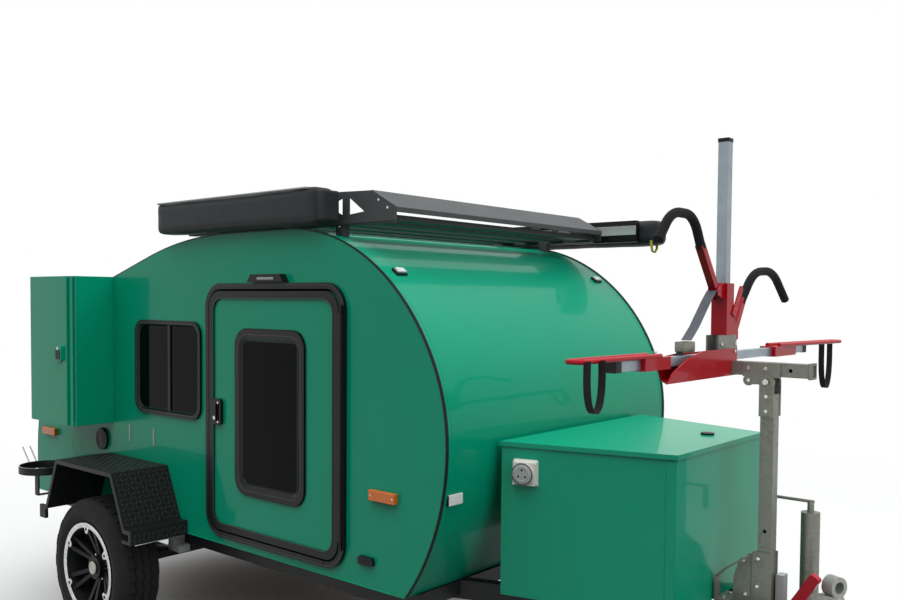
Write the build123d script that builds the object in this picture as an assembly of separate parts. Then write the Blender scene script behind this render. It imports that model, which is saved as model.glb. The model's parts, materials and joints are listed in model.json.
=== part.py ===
from build123d import *
import math
import os

# Teardrop trailer, in millimetres. X runs forward to the coupling, Y to the trailer's left, Z up.
# Pieces are laid out from the nose of the body, x = 0 at its foremost point, and moved together
# at the end so that x = 0 is the middle of the overall length. The floor is z = 0.

# Body shell: a side view of tangent arcs, from under the nose over the roof to the tail
body_length = 3140
body_width = 1662
sill_z = 532
roof_z = 1943
nose_z = 1118
wall_t = 36
under_r = 958
brow_r = 732
brow_angle = 25.4
flat_end_x = -1291
rear_r = 2407
rear_slope = 15.9
tail_r = 1000
half = body_width / 2
wall_in = half - wall_t
face_gap = 0.3
seat = 1
trim_t = 4
trim_w = 14
trim_inset = 0

# Rear hatch
hatch_x = -2180
hatch_bottom_z = 622
hatch_gap = 6
hinge_rise = 12
grip_w = 220
grip_depth = 24
grip_h = 26
grip_rise = 90

# Cabin
floor_t = 40
head_t = 15
head_set_back = 30
bench_z = 900
bench_t = 20
shelf_z = 1330
shelf_t = 16
shelf_depth = 330
divider_y = 300

# Doors: outside of the black surround, and what lies inside it
door_set_back = 515
door_w = 931
door_sill_rise = 37
door_head_drop = 223
door_corner_r = 110
surround_w = 26
surround_t = 15
leaf_gap = 8
leaf_out = 11
leaf_in = 4
door_edge_w = 32
door_edge_t = 7
hinge_pin_r = 3
hinge_knuckle_r = 7
hinge_web_t = 10
hinge_from_corner = 120
pin_fit = 0.08
lug_len = 30
hinge_off_x = 14
hinge_off_y = 24
pane_frame_t = 10
pane_t = 5
door_pane_w = 467
door_pane_h = 731
door_pane_frame_w = 46
door_pane_flat_w = 24
door_pane_corner_r = 75
handle_w = 60
handle_h = 118
handle_t = 16
handle_inset = 36
handle_drop = 4

# Side windows, placed from the door and the sill
window_w = 563
window_h = 462
window_corner_r = 65
window_frame_w = 27
window_flat_w = 18
window_frame_t = 12
window_behind_door = 330
window_rise = 781
window_bar_w = 22
window_bar_off = 16

# Chassis
rail_w = 50
rail_h = 76
rail_inset = 91
rail_front_x = -190
chassis_end_gap = 28
cross_w = 50
cross_drop = 16
leg_w = 50
leg_rear_x = -760
leg_inset = 40
leg_front_x = 1010
leg_front_y = 38
coupler_seat_len = 180
rail_y = half - rail_inset
rail_z0 = sill_z - rail_h
chassis_end_x = -body_length + chassis_end_gap

# Axle, springs and wheels
axle_x = -2040
tyre_r = 338
tyre_w = 215
rim_r = 226
rim_bead_r = 207
rim_in = 8
barrel_t = 14
spoke_count = 6
spoke_w = 20
spoke_spread = 9
spoke_depth = 24
hub_r = 70
hub_nose_r = 55
hub_recess = 84
nose_recess = 44
spoke_out = 14
cap_t = 8
cap_r = 30
wheel_stand_out = 290
beam_w = 50
spring_w = 50
spring_span = 640
spring_bow = 66
spring_t = 28
shackle_w = 44
clip_half = 60
drum_r = 138
drum_w = 62
stub_r = 20
pin_gap = 2
wheel_out_y = half + wheel_stand_out

# Mudguards, placed from the axle
guard_over = 7
guard_rise = 164
guard_front_run = 256
guard_rear_run = 280
guard_knee_run = 368
guard_tail_run = 396
guard_ledge = 57
guard_knee_z = 597
guard_low_z = 527
guard_tail_z = 575
guard_t = 4
guard_lip = 20
guard_foot_w = 56
guard_foot_t = 16
guard_foot_h = 66
guard_out_y = wheel_out_y + guard_over
guard_top_z = 2 * tyre_r + guard_rise

# Step brackets under the rails, ahead of the wheels
step_x0 = -1790
step_len = 96
step_h = 66
step_out = 60
step_gap = 2

# Boxes on the rear flanks
flank_front_x = -2281
flank_length = 453
flank_low_z = 1001
flank_high_z = 1760
flank_depth = 205
flank_t = 12
flank_door_t = 18
flank_frame_w = 60
flank_strip_w = 36
flank_strip_t = 8
latch_w = 61
latch_h = 80
latch_t = 14
latch_inset = 34
flank_rear_x = flank_front_x - flank_length
flank_out_y = half + flank_depth

# Toolbox on the drawbar
chest_rear_x = 34
chest_length = 636
chest_rear_half = 543
chest_front_half = 372
chest_height = 588
chest_t = 12
lid_lip = 18
lid_over = 8
lid_t = 6
lid_gap = 2
lid_skirt_t = 2
lid_hinge_off = 14
lid_hinge_drop = 4
lid_knuckle_r = 6
lid_hinge_half = 370
lid_lug = 60
lid_cap_r = 27
lid_cap_t = 8
lid_cap_x = 540
lid_cap_y = 157
inlet_w = 101
inlet_t = 26
inlet_bevel = 8
inlet_cover_r = 38
inlet_cover_t = 14
inlet_along = 98
inlet_drop = 112
chest_front_x = chest_rear_x + chest_length
chest_top_z = sill_z + chest_height

# Carrier post
post_x = 850
post_w = 50
post_wall = 4
post_top_z = 1320
pivot_z = 1365
pivot_r = 8
pivot_fit = 0.08
plate_t = 6
plate_fit = 0.5
plate_w = 54
plate_low_z = 1238
head_len = 140
head_set = 22
lobe_r = 20
foot_plate_t = 8
foot_x0 = -174
foot_x1 = 80
foot_half = 58
gusset_h = 206
gusset_x1 = 30
hoop_w = 30
hoop_t = 6
plug_w = 28
plug_span = 44
plug_y = 8
plug_h = 123
pin_hole_r = 7
pin_hole_z = 815

# Carrier: hitch tube, channel, crossbar and mast
tube_z = 1409
tube_w = 50
tube_wall = 4
tube_front_x = 1006
tube_bore_len = 200
channel_x0 = 636
channel_w = 76
channel_t = 5
channel_low_z = 1380
channel_top_z = 1480
channel_rear_drop = 9
channel_near_y = -541
channel_far_y = 24
crossbar_x = 672
crossbar_z = 1450
crossbar_w = 32
crossbar_half = 832
mast_x = 662
mast_w = 40
mast_top_z = 2264
mast_wall = 3
saddle_half = 60
cheek_half = 84
cheek_t = 6
channel_x1 = channel_x0 + channel_w
tube_rear_x = channel_x1

# Carrier: wheel loops and hook arms
sleeve_w = 66
sleeve_h = 42
loop_r = 8
loop_half = 26
loop_bend_r = 16
clamp_w = 62
clamp_low_z = 1530
clamp_high_z = 1724
hook_tube_w = 28
hook_foam_r = 17
hook_pin_r = 6
lug_t = 5
lug_fit = 0.5

# Jockey jack
jack_x = 955
jack_y = 150
jack_r = 34
jack_wall = 4
jack_top_z = 873
jack_low_z = 395
jack_cap_t = 40
jack_neck_r = 12
jack_neck_h = 40
crank_r = 6
crank_len = 165
crank_grip_r = 11
crank_grip_len = 90
clamp_pad = 40
clamp_margin = 8
leg_slide_gap = 1.0
jockey_r = 98
jockey_w = 58
jockey_hub_r = 8
jockey_trail = 46
jockey_round = 14
fork_t = 5
fork_gap = 6
fork_plate_t = 12
fork_rise = 34

# Coupling
ring_x = 1092
ring_z = 658
ring_r = 37
ring_bore_r = 21
ring_len = 46
ring_turn = -25
coupling_front_x = 1190
coupling_base_t = 10
coupling_base_half = 56
coupling_body_half = 28
coupling_nose_half = 38
coupling_body_h = 70
lever_y = -50
lever_t = 30
lever_w = 38
lever_len = 135
lever_angle = 58
lever_pivot_x = 958
lever_pivot_r = 9
lever_ear_half = 15

# Roof equipment, placed from the roof and the body's sides
rack_x0 = -1720
rack_x1 = -364
rack_inset = 81
rack_rise = 43
rack_rail_w = 40
rack_rail_h = 30
slat_w = 80
slat_t = 22
slat_pitch = 158
slat_count = 9
foot_front_x = -653
foot_rear_x = -1400
foot_w = 44
deflector_t = 4
deflector_rise = 99
deflector_fall = 75
deflector_lip = 20
deflector_reach = 44
deflector_run = 140
deflector_plate_run = 438
bag_x0 = -1787
bag_x1 = -620
bag_rise = 5
bag_h = 160
bag_inset = 56
bag_depth = 120
bag_corner_r = 34
bag_end_len = 45
awning_x0 = -1790
awning_x1 = -20
awning_inset = 31
awning_wall_gap = 2
awning_rail_h = 108
awning_rail_x1 = -150
awning_depth = 120
awning_drop = 13
awning_h = 134
awning_rail_drop = 4
awning_corner_r = 30
rack_half = half - rack_inset
rack_top_z = roof_z + rack_rise
bag_z0 = roof_z + bag_rise
awning_low_z = roof_z - awning_drop

# Lamps and small fittings
lamp_angle = 52.5
lamp_y = 725
lamp_w = 60
lamp_len = 38
lamp_base_t = 8
lamp_dome_t = 9
nose_lamp_drop = 193
nose_lamp_y = 760
nose_lamp_w = 78
nose_lamp_h = 40
nose_lamp_t = 12
porch_w = 243
porch_h = 34
porch_t = 34
porch_rise = 20
porch_behind_door = 475
marker_w = 138
marker_h = 40
marker_t = 22
marker_x = -303
marker_z = 904
rear_marker_w = 147
rear_marker_inset = 171
rear_marker_z = 890
vent_r = 57
vent_t = 14
vent_x = -2393
vent_z = 906
water_w = 82
water_x = -396
water_z = 640
water_t = 16
strip_h = 86
strip_w = 12
strip_t = 4
strip_z = 963
strip_rear_x = -2127
strip_pitch = 224
tail_lamp_t = 30
tail_lamp_w = 200
tail_lamp_h = 60
tail_lamp_y = 660
tail_lamp_z = 576
sign_plate_w = 372
sign_plate_h = 107
sign_plate_t = 3

# Gas bottle ring
gas_r = 130
gas_t = 4
gas_h = 40
gas_inboard = 12
gas_from_rear = 380
gas_z = 722
gas_leg_w = 40
gas_leg_h = 140
gas_leg_back = 90
gas_hook_r = 4
gas_hook_len = 92

# Overall reaches from the nose
rear_reach = body_length + tail_lamp_t
nose_x = (rear_reach - coupling_front_x) / 2

parts = {}


def block(x0, x1, y0, y1, z0, z1):
    return Pos((x0 + x1) / 2, (y0 + y1) / 2, (z0 + z1) / 2) * Box(abs(x1 - x0), abs(y1 - y0), abs(z1 - z0))


def block_at(x, y, z, length, width, height):
    return Pos(x, y, z) * Box(length, width, height)


def along_x(sketch, x0, x1):
    """Sketch in Y and Z."""
    return extrude(Pos(x0, 0, 0) * (Plane.YZ * sketch), amount=x1 - x0)


def along_y(sketch, y0, y1):
    """Sketch in X and Z."""
    return extrude(Pos(0, y1, 0) * (Plane.XZ * sketch), amount=y1 - y0)


def along_z(sketch, z0, z1):
    return extrude(Pos(0, 0, z0) * sketch, amount=z1 - z0)


def shape_of(points):
    return make_face(Polyline(*points, close=True))


def on_side(solid, side):
    """A piece is drawn on the right flank (y < 0); the left one is its mirror image."""
    return solid if side == "right" else mirror(solid, about=Plane.XZ)


def rod(a, b, r):
    a = Vector(*a)
    b = Vector(*b)
    run = b - a
    return Plane(a, z_dir=run) * Cylinder(r, run.length, align=(Align.CENTER, Align.CENTER, Align.MIN))


def bent_bar(points, radii, section):
    path = FilletPolyline(*points, radius=radii)
    return sweep(Plane(path @ 0, z_dir=path % 0, x_dir=(1, 0, 0)) * section, path=path)


def body_outline(inset, z_bottom):
    """Side view of the body, tangent arcs from the nose over the roof to the tail."""
    a1 = math.radians(brow_angle)
    a2 = math.radians(rear_slope)
    crown_x, crown_z, crown_r = crown_circle()
    rear = Vector(flat_end_x, roof_z - rear_r)
    tail_x = -body_length + tail_r
    tail_z = roof_height(tail_x) - tail_r / math.cos(a2)
    low = math.degrees(math.asin((nose_z - z_bottom) / (under_r - inset)))
    under = CenterArc((-under_r, nose_z), under_r - inset, -low, low)
    brow = CenterArc((-brow_r, nose_z), brow_r - inset, 0, brow_angle)
    top = CenterArc((crown_x, crown_z), crown_r - inset, brow_angle, 90 - brow_angle)
    fall = CenterArc(rear, rear_r - inset, 90, rear_slope)
    tail = CenterArc((tail_x, tail_z), tail_r - inset, 90 + rear_slope, 90 - rear_slope)
    flat = Line(top @ 1, fall @ 0)
    slope = Line(fall @ 1, tail @ 0)
    corner = (-body_length + inset, z_bottom)
    back = Line(tail @ 1, corner)
    base = Line(corner, under @ 0)
    return make_face([under, brow, top, flat, fall, slope, tail, back, base])


def crown_circle():
    """Centre and radius of the arc that joins the brow to the flat of the roof."""
    a1 = math.radians(brow_angle)
    r = (roof_z - nose_z - brow_r * math.sin(a1)) / (1 - math.sin(a1))
    return -brow_r - (r - brow_r) * math.cos(a1), nose_z - (r - brow_r) * math.sin(a1), r


def roof_height(x):
    """Height of the outer roof line at a place on the sloping stretch."""
    a2 = math.radians(rear_slope)
    slope_start_x = flat_end_x - rear_r * math.sin(a2)
    slope_start_z = roof_z - rear_r + rear_r * math.cos(a2)
    return slope_start_z + (x - slope_start_x) * math.tan(a2)


def nose_surface_x(z):
    """How far forward the skin stands at a height below the nose."""
    return -under_r + math.sqrt(under_r ** 2 - (nose_z - z) ** 2)


def rounded(cx, cz, w, h, r):
    return Pos(cx, cz) * RectangleRounded(w, h, r)


def sloped_frame(cx, cz, w, h, r, flat_w, total_w, y_out, y_in):
    """A window frame: a flat outer band, then a bevel that falls to the glass."""
    outer = along_y(rounded(cx, cz, w, h, r), y_out, y_in)
    step = (total_w - flat_w)
    wide = rounded(cx, cz, w - 2 * flat_w, h - 2 * flat_w, r - flat_w / 2)
    narrow = rounded(cx, cz, w - 2 * total_w, h - 2 * total_w, r - flat_w / 2 - step / 2)
    reach = Pos(0, y_out - seat, 0) * (Plane.XZ * wide)
    glass = Pos(0, y_in + seat, 0) * (Plane.XZ * narrow)
    return outer - loft([reach, glass])


door_front_x = -door_set_back
door_rear_x = door_front_x - door_w
door_low_z = sill_z + door_sill_rise
door_high_z = roof_z - door_head_drop
door_x = (door_rear_x + door_front_x) / 2
door_z = (door_low_z + door_high_z) / 2
door_h = door_high_z - door_low_z
opening_w = door_w - 2 * surround_w
opening_h = door_h - 2 * surround_w
opening_r = door_corner_r - surround_w
leaf_w = opening_w - 2 * leaf_gap
leaf_h = opening_h - 2 * leaf_gap
leaf_r = opening_r - leaf_gap
door_pane_x = door_x - 3
door_pane_z = door_z + 10
hinge_x = door_front_x - surround_w + hinge_off_x
hinge_y = half + hinge_off_y
hinge_low_z = door_low_z + hinge_from_corner
hinge_high_z = door_high_z - hinge_from_corner
window_x = door_rear_x - window_behind_door
window_z = sill_z + window_rise
hatch_hinge_z = roof_height(hatch_x) + hinge_rise


def window_hole(w, h, r, frame_w, flat_w, cx, cz, grow):
    """The glass's outline, as the frame's bevel leaves it."""
    inner_r = r - flat_w / 2 - (frame_w - flat_w) / 2
    return rounded(cx, cz, w - 2 * frame_w + 2 * grow, h - 2 * frame_w + 2 * grow, inner_r + grow)


def door_hole(grow):
    return window_hole(door_pane_w, door_pane_h, door_pane_corner_r, door_pane_frame_w, door_pane_flat_w,
                       door_pane_x, door_pane_z, grow)


def side_hole(grow):
    return window_hole(window_w, window_h, window_corner_r, window_frame_w, window_flat_w,
                       window_x, window_z, grow)


def make_walls():
    walls = []
    for side in ("right", "left"):
        wall = along_y(body_outline(0, sill_z), -half, -wall_in)
        wall -= along_y(rounded(door_x, door_z, opening_w, opening_h, opening_r), -half - seat, -wall_in + seat)
        wall -= along_y(side_hole(0), -half - seat, -wall_in + seat)
        walls.append(on_side(wall, side))
    parts["side_walls"] = Compound(walls)


def make_shell():
    ring = body_outline(0, sill_z) - body_outline(wall_t, sill_z)
    far = 2 * body_length
    front = Pos(hatch_x + far / 2, roof_z / 2) * Rectangle(far, 2 * roof_z)
    skin = along_y(ring & front, -wall_in, wall_in)
    tail_z = (hatch_bottom_z + 2 * roof_z) / 2
    aft = Pos(hatch_x - hatch_gap - far / 2, tail_z) * Rectangle(far, 2 * roof_z - hatch_bottom_z)
    hatch_half = wall_in - hatch_gap
    panel = along_y(ring & aft, -hatch_half, hatch_half)
    grip_z = hatch_bottom_z + grip_rise
    grip = block(-body_length - grip_depth, -body_length + wall_t / 2, -grip_w / 2, grip_w / 2, grip_z,
                 grip_z + grip_h)
    parts["rear_hatch"] = panel + grip
    print("hatch hinge height", round(hatch_hinge_z, 1))
    rear_sill = block(-body_length, -body_length + wall_t, -wall_in, wall_in, sill_z, hatch_bottom_z - hatch_gap)
    parts["outer_skins"] = Compound([skin, rear_sill])


def make_interior():
    rear_x = -body_length + wall_t
    inner = body_outline(wall_t, sill_z)
    cabin = along_y(inner, -wall_in, wall_in)
    floor_top = sill_z + floor_t
    floor = cabin & block(-body_length, 0, -half, half, sill_z, floor_top)
    head_x = hatch_x - head_set_back
    head = cabin & block(head_x - head_t, head_x, -half, half, floor_top, 2 * roof_z)
    aft_x = head_x - head_t
    bench = block(rear_x + 60, aft_x, -wall_in, wall_in, bench_z, bench_z + bench_t)
    shelf = block(aft_x - shelf_depth, aft_x, -wall_in, wall_in, shelf_z, shelf_z + shelf_t)
    room = floor + head + bench + shelf
    for y in (-divider_y, divider_y):
        room += block(rear_x + 80, aft_x, y - shelf_t / 2, y + shelf_t / 2, floor_top, bench_z)
    parts["cabin_interior"] = room


def make_trims():
    low_z = sill_z + trim_t
    band = body_outline(-trim_t, low_z) - body_outline(0, low_z)
    strip = along_y(band, -half + trim_inset, -half + trim_inset + trim_w)
    strip = strip & block(-body_length - trim_t, trim_t, -half, half, low_z + trim_t, roof_z + trim_t)
    parts["edge_trims"] = Compound([strip, mirror(strip, about=Plane.XZ)])


def make_doors():
    surrounds = []
    frames = []
    panes = []
    for side in ("right", "left"):
        ring = rounded(door_x, door_z, door_w, door_h, door_corner_r)
        ring -= rounded(door_x, door_z, opening_w, opening_h, opening_r)
        surround = along_y(ring, -half - surround_t, -half)
        for z0, z1 in ((hinge_low_z - lug_len, hinge_low_z), (hinge_high_z, hinge_high_z + lug_len)):
            surround += rod((hinge_x, -hinge_y, z0), (hinge_x, -hinge_y, z1), hinge_knuckle_r)
            web = hinge_web_t / 2
            surround += block(hinge_x - web, hinge_x + web, -hinge_y, -half - surround_t, z0, z1)
        surround += rod((hinge_x, -hinge_y, hinge_low_z), (hinge_x, -hinge_y, hinge_high_z), hinge_pin_r)
        surrounds.append(on_side(surround, side))
        out = -half - leaf_out
        leaf = along_y(rounded(door_x, door_z, leaf_w, leaf_h, leaf_r), out, -wall_in + leaf_in)
        leaf -= along_y(door_hole(0), out - seat, 0)
        edge = rounded(door_x, door_z, leaf_w, leaf_h, leaf_r)
        edge_in = 2 * door_edge_w
        edge -= rounded(door_x, door_z, leaf_w - edge_in, leaf_h - edge_in, leaf_r - door_edge_w / 2)
        rim = along_y(edge, out - door_edge_t, out)
        frame = sloped_frame(door_pane_x, door_pane_z, door_pane_w, door_pane_h, door_pane_corner_r,
                             door_pane_flat_w, door_pane_frame_w, out - pane_frame_t, out)
        handle_x = door_rear_x + surround_w + leaf_gap + door_edge_w + handle_inset
        handle_z = door_z - handle_drop
        grip = rounded(handle_x, handle_z, handle_w, handle_h, handle_w / 4)
        pocket = rounded(handle_x + handle_w / 8, handle_z, handle_w / 2, handle_h * 0.7, handle_w / 8)
        handle = along_y(grip, out - handle_t, out)
        handle -= along_y(pocket, out - handle_t - seat, out - handle_t / 3)
        z0 = hinge_low_z + face_gap
        z1 = hinge_high_z - face_gap
        knuckle = rod((hinge_x, -hinge_y, z0), (hinge_x, -hinge_y, z1), hinge_knuckle_r)
        knuckle += block(hinge_x - lug_len, hinge_x, -hinge_y, out - door_edge_t, z0, z1)
        knuckle -= rod((hinge_x, -hinge_y, z0 - seat), (hinge_x, -hinge_y, z1 + seat), hinge_pin_r + pin_fit)
        glass = along_y(door_hole(0), out, out + pane_t)
        parts["door_leaf_" + side] = on_side(leaf, side)
        parts["door_trim_" + side] = Compound([on_side(t, side) for t in (rim + knuckle, frame, handle)])
        parts["door_glass_" + side] = on_side(glass, side)
        border = sloped_frame(window_x, window_z, window_w, window_h, window_corner_r,
                              window_flat_w, window_frame_w, -half - window_frame_t, -half)
        bar_h = window_h - 2 * window_flat_w
        bar = Pos(window_x + window_bar_off, window_z) * Rectangle(window_bar_w, bar_h)
        border += along_y(bar, -half - window_frame_t / 2, -half)
        frames.append(on_side(border, side))
        panes.append(on_side(along_y(side_hole(0), -half, -half + pane_t), side))
    parts["door_and_window_frames"] = Compound(surrounds + frames)
    parts["side_window_glass"] = Compound(panes)


def make_chassis():
    frame = block(chassis_end_x, rail_front_x, -rail_y - rail_w / 2, -rail_y + rail_w / 2, rail_z0, sill_z)
    frame += block(chassis_end_x, rail_front_x, rail_y - rail_w / 2, rail_y + rail_w / 2, rail_z0, sill_z)
    cross_places = (chassis_end_x + cross_w / 2, axle_x - 500, axle_x + 500, leg_rear_x - 240,
                    rail_front_x - cross_w / 2)
    for x in cross_places:
        frame += block(x - cross_w / 2, x + cross_w / 2, -rail_y, rail_y, rail_z0 + cross_drop, sill_z)
    leg_rear_y = rail_y - leg_inset
    for sign in (-1, 1):
        leg = shape_of([
            (leg_rear_x, sign * (leg_rear_y + leg_w / 2)),
            (leg_rear_x, sign * (leg_rear_y - leg_w / 2)),
            (leg_front_x, sign * (leg_front_y - leg_w / 2)),
            (leg_front_x, sign * (leg_front_y + leg_w / 2)),
        ])
        frame += along_z(leg, rail_z0, sill_z)
    seat_half = leg_front_y + leg_w / 2 - 5
    frame += block(leg_front_x - coupler_seat_len, leg_front_x, -seat_half, seat_half, rail_z0 + 10, sill_z)
    for sign in (-1, 1):
        rail_face = rail_y + rail_w / 2
        y0 = sign * (rail_face + step_gap)
        y1 = sign * (rail_face + step_out)
        arm_top = sill_z - rail_h / 4
        frame += block(step_x0, step_x0 + step_len, y0, y1, rail_z0 - step_h / 2, rail_z0)
        frame += block(step_x0, step_x0 + step_len / 2, y0, y1, rail_z0 - step_h / 2, arm_top)
        frame += block(step_x0, step_x0 + step_len / 2, sign * (rail_face - seat), y0, rail_z0 + step_gap, arm_top)
    parts["chassis_frame"] = frame


def make_axle():
    beam_z = tyre_r
    beam_half = beam_w / 2
    hub_y = wheel_out_y - tyre_w + hub_r / 4
    beam = block(axle_x - beam_half, axle_x + beam_half, -hub_y, hub_y, beam_z - beam_half, beam_z + beam_half)
    seat_z = beam_z + beam_half
    end_z = seat_z + spring_bow
    for sign in (-1, 1):
        y0 = sign * rail_y - spring_w / 2
        y1 = sign * rail_y + spring_w / 2
        bow = shape_of([
            (axle_x - spring_span / 2, end_z), (axle_x - clip_half, seat_z), (axle_x + clip_half, seat_z),
            (axle_x + spring_span / 2, end_z), (axle_x + spring_span / 2, end_z + spring_t / 2),
            (axle_x + clip_half, seat_z + spring_t), (axle_x - clip_half, seat_z + spring_t),
            (axle_x - spring_span / 2, end_z + spring_t / 2),
        ])
        beam += along_y(bow, y0, y1)
        for end in (-1, 1):
            x = axle_x + end * (spring_span / 2 - shackle_w / 2)
            beam += block(x - shackle_w / 2, x + shackle_w / 2, y0, y1, end_z - spring_t / 4, rail_z0)
        tip = sign * (wheel_out_y - drum_w)
        beam += rod((axle_x, sign * (hub_y - seat), beam_z), (axle_x, tip, beam_z), stub_r)
    parts["axle_and_springs"] = beam


def make_wheels():
    y_out = -wheel_out_y
    y_in = y_out + tyre_w
    mid = (y_out + y_in) / 2
    lip_y = y_out + rim_in
    shoulder = tyre_w / 6
    bulge_r = (tyre_r + rim_r) / 2
    tread_edge_r = tyre_r - shoulder / 6
    bead_y = tyre_w / 2 - 27
    tyre_section = shape_of([
        (rim_bead_r, mid - bead_y), (rim_r, mid - bead_y), (bulge_r, y_out), (tread_edge_r - shoulder / 2, y_out + shoulder / 3),
        (tyre_r, y_out + shoulder), (tyre_r, y_in - shoulder), (tread_edge_r - shoulder / 2, y_in - shoulder / 3),
        (bulge_r, y_in), (rim_bead_r, mid + bead_y),
    ])
    barrel_r = rim_bead_r - face_gap
    rim_section = shape_of([
        (barrel_r, mid - bead_y - face_gap), (rim_r, mid - bead_y - face_gap), (rim_r, lip_y), (rim_r - 26, lip_y),
        (barrel_r - barrel_t, lip_y + 48), (barrel_r - barrel_t, mid + bead_y), (barrel_r, mid + bead_y),
    ])
    hub_face = y_out + hub_recess
    drum_face = hub_face + 40
    # Each spoke falls inwards from the lip to the hub
    dish = shape_of([
        (hub_r - spoke_w, hub_face - spoke_w / 2), (barrel_r - barrel_t / 2, lip_y + spoke_out),
        (barrel_r - barrel_t / 2, lip_y + spoke_out + spoke_depth), (hub_r - spoke_w, hub_face + spoke_depth),
    ])
    for side in ("right", "left"):
        tyre = Pos(axle_x, 0, tyre_r) * revolve(Plane.XY * tyre_section, Axis.Y)
        wheel = revolve(Plane.XY * rim_section, Axis.Y)
        wheel += along_y(Circle(hub_r), hub_face, drum_face)
        wheel += along_y(Circle(hub_nose_r), y_out + nose_recess, hub_face)
        wheel += along_y(Circle(cap_r), y_out + nose_recess - cap_t, y_out + nose_recess)
        for k in range(spoke_count):
            for lean in (-1, 1):
                spoke = along_z(dish, -spoke_w / 2, spoke_w / 2)
                turn = 360 / spoke_count * (k + 0.5) + lean * spoke_spread
                wheel += Rot(0, turn, 0) * spoke
        wheel += along_y(Circle(drum_r), drum_face, drum_face + drum_w)
        wheel -= along_y(Circle(stub_r + pin_fit), y_out + drum_w - pin_gap, y_in)
        parts["tyre_" + side] = on_side(tyre, side)
        parts["wheel_rim_" + side] = on_side(Pos(axle_x, 0, tyre_r) * wheel, side)


def make_mudguards():
    knee_x = axle_x + guard_knee_run
    ledge_x = knee_x + guard_ledge
    tail_x = axle_x - guard_tail_run
    front_x = axle_x + guard_front_run
    rear_x = axle_x - guard_rear_run
    path = [(ledge_x, guard_low_z), (ledge_x, guard_knee_z), (knee_x, guard_knee_z), (front_x, guard_top_z),
            (rear_x, guard_top_z), (tail_x, guard_tail_z)]
    outer = shape_of(path + [(tail_x, guard_low_z)])
    inner = offset(outer, -guard_t, kind=Kind.INTERSECTION)
    rim = offset(outer, -guard_lip, kind=Kind.INTERSECTION)
    below = Pos(axle_x, guard_tail_z / 2) * Rectangle(3 * guard_tail_run, guard_tail_z)
    ahead = Pos(knee_x - guard_lip + body_length / 2, guard_tail_z) * Rectangle(body_length, 2 * guard_tail_z)
    open_side = below - ahead
    floor_cut = Pos(axle_x, guard_low_z) * Rectangle(3 * guard_tail_run, 2 * guard_t)
    skin = (outer - inner) - open_side - floor_cut
    lip = (outer - rim) - open_side - floor_cut
    guards = []
    for side in ("right", "left"):
        guard = along_y(skin, -guard_out_y, -half) + along_y(lip, -guard_out_y, -guard_out_y + guard_t)
        foot_top = guard_tail_z + guard_foot_h / 4
        guard += block(tail_x - guard_foot_w, tail_x + guard_t, -guard_out_y, -guard_out_y + guard_foot_t,
                       foot_top - guard_foot_h, foot_top)
        guards.append(on_side(guard, side))
    parts["mudguards"] = Compound(guards)


def make_flank_boxes():
    boxes = []
    door_front = flank_front_x - flank_frame_w
    for side in ("right", "left"):
        box = block(flank_rear_x, flank_front_x, -flank_out_y, -half, flank_low_z, flank_high_z)
        box -= block(flank_rear_x + flank_t, flank_front_x - flank_t, -flank_out_y - seat, -half - flank_t,
                     flank_low_z + flank_t, flank_high_z - flank_t)
        strip_x = door_front + face_gap + 4
        box += block(strip_x, strip_x + flank_strip_w, -flank_out_y - flank_strip_t, -flank_out_y + flank_t,
                     flank_low_z, flank_high_z)
        y1 = -flank_out_y - face_gap
        y0 = y1 - flank_door_t
        door = block(flank_rear_x, door_front, y0, y1, flank_low_z, flank_high_z)
        latch_x = door_front - latch_inset - latch_w / 2
        latch_z = (flank_low_z + flank_high_z) / 2 - latch_t
        door += along_y(rounded(latch_x, latch_z, latch_w, latch_h, latch_w / 5), y0 - latch_t, y0)
        boxes.append(on_side(box, side))
        parts["flank_box_door_" + side] = on_side(door, side)
    parts["flank_boxes"] = Compound(boxes)


def chest_plan(grow):
    return shape_of([
        (chest_rear_x - grow, -chest_rear_half - grow), (chest_front_x + grow, -chest_front_half - grow),
        (chest_front_x + grow, chest_front_half + grow), (chest_rear_x - grow, chest_rear_half + grow),
    ])


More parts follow.
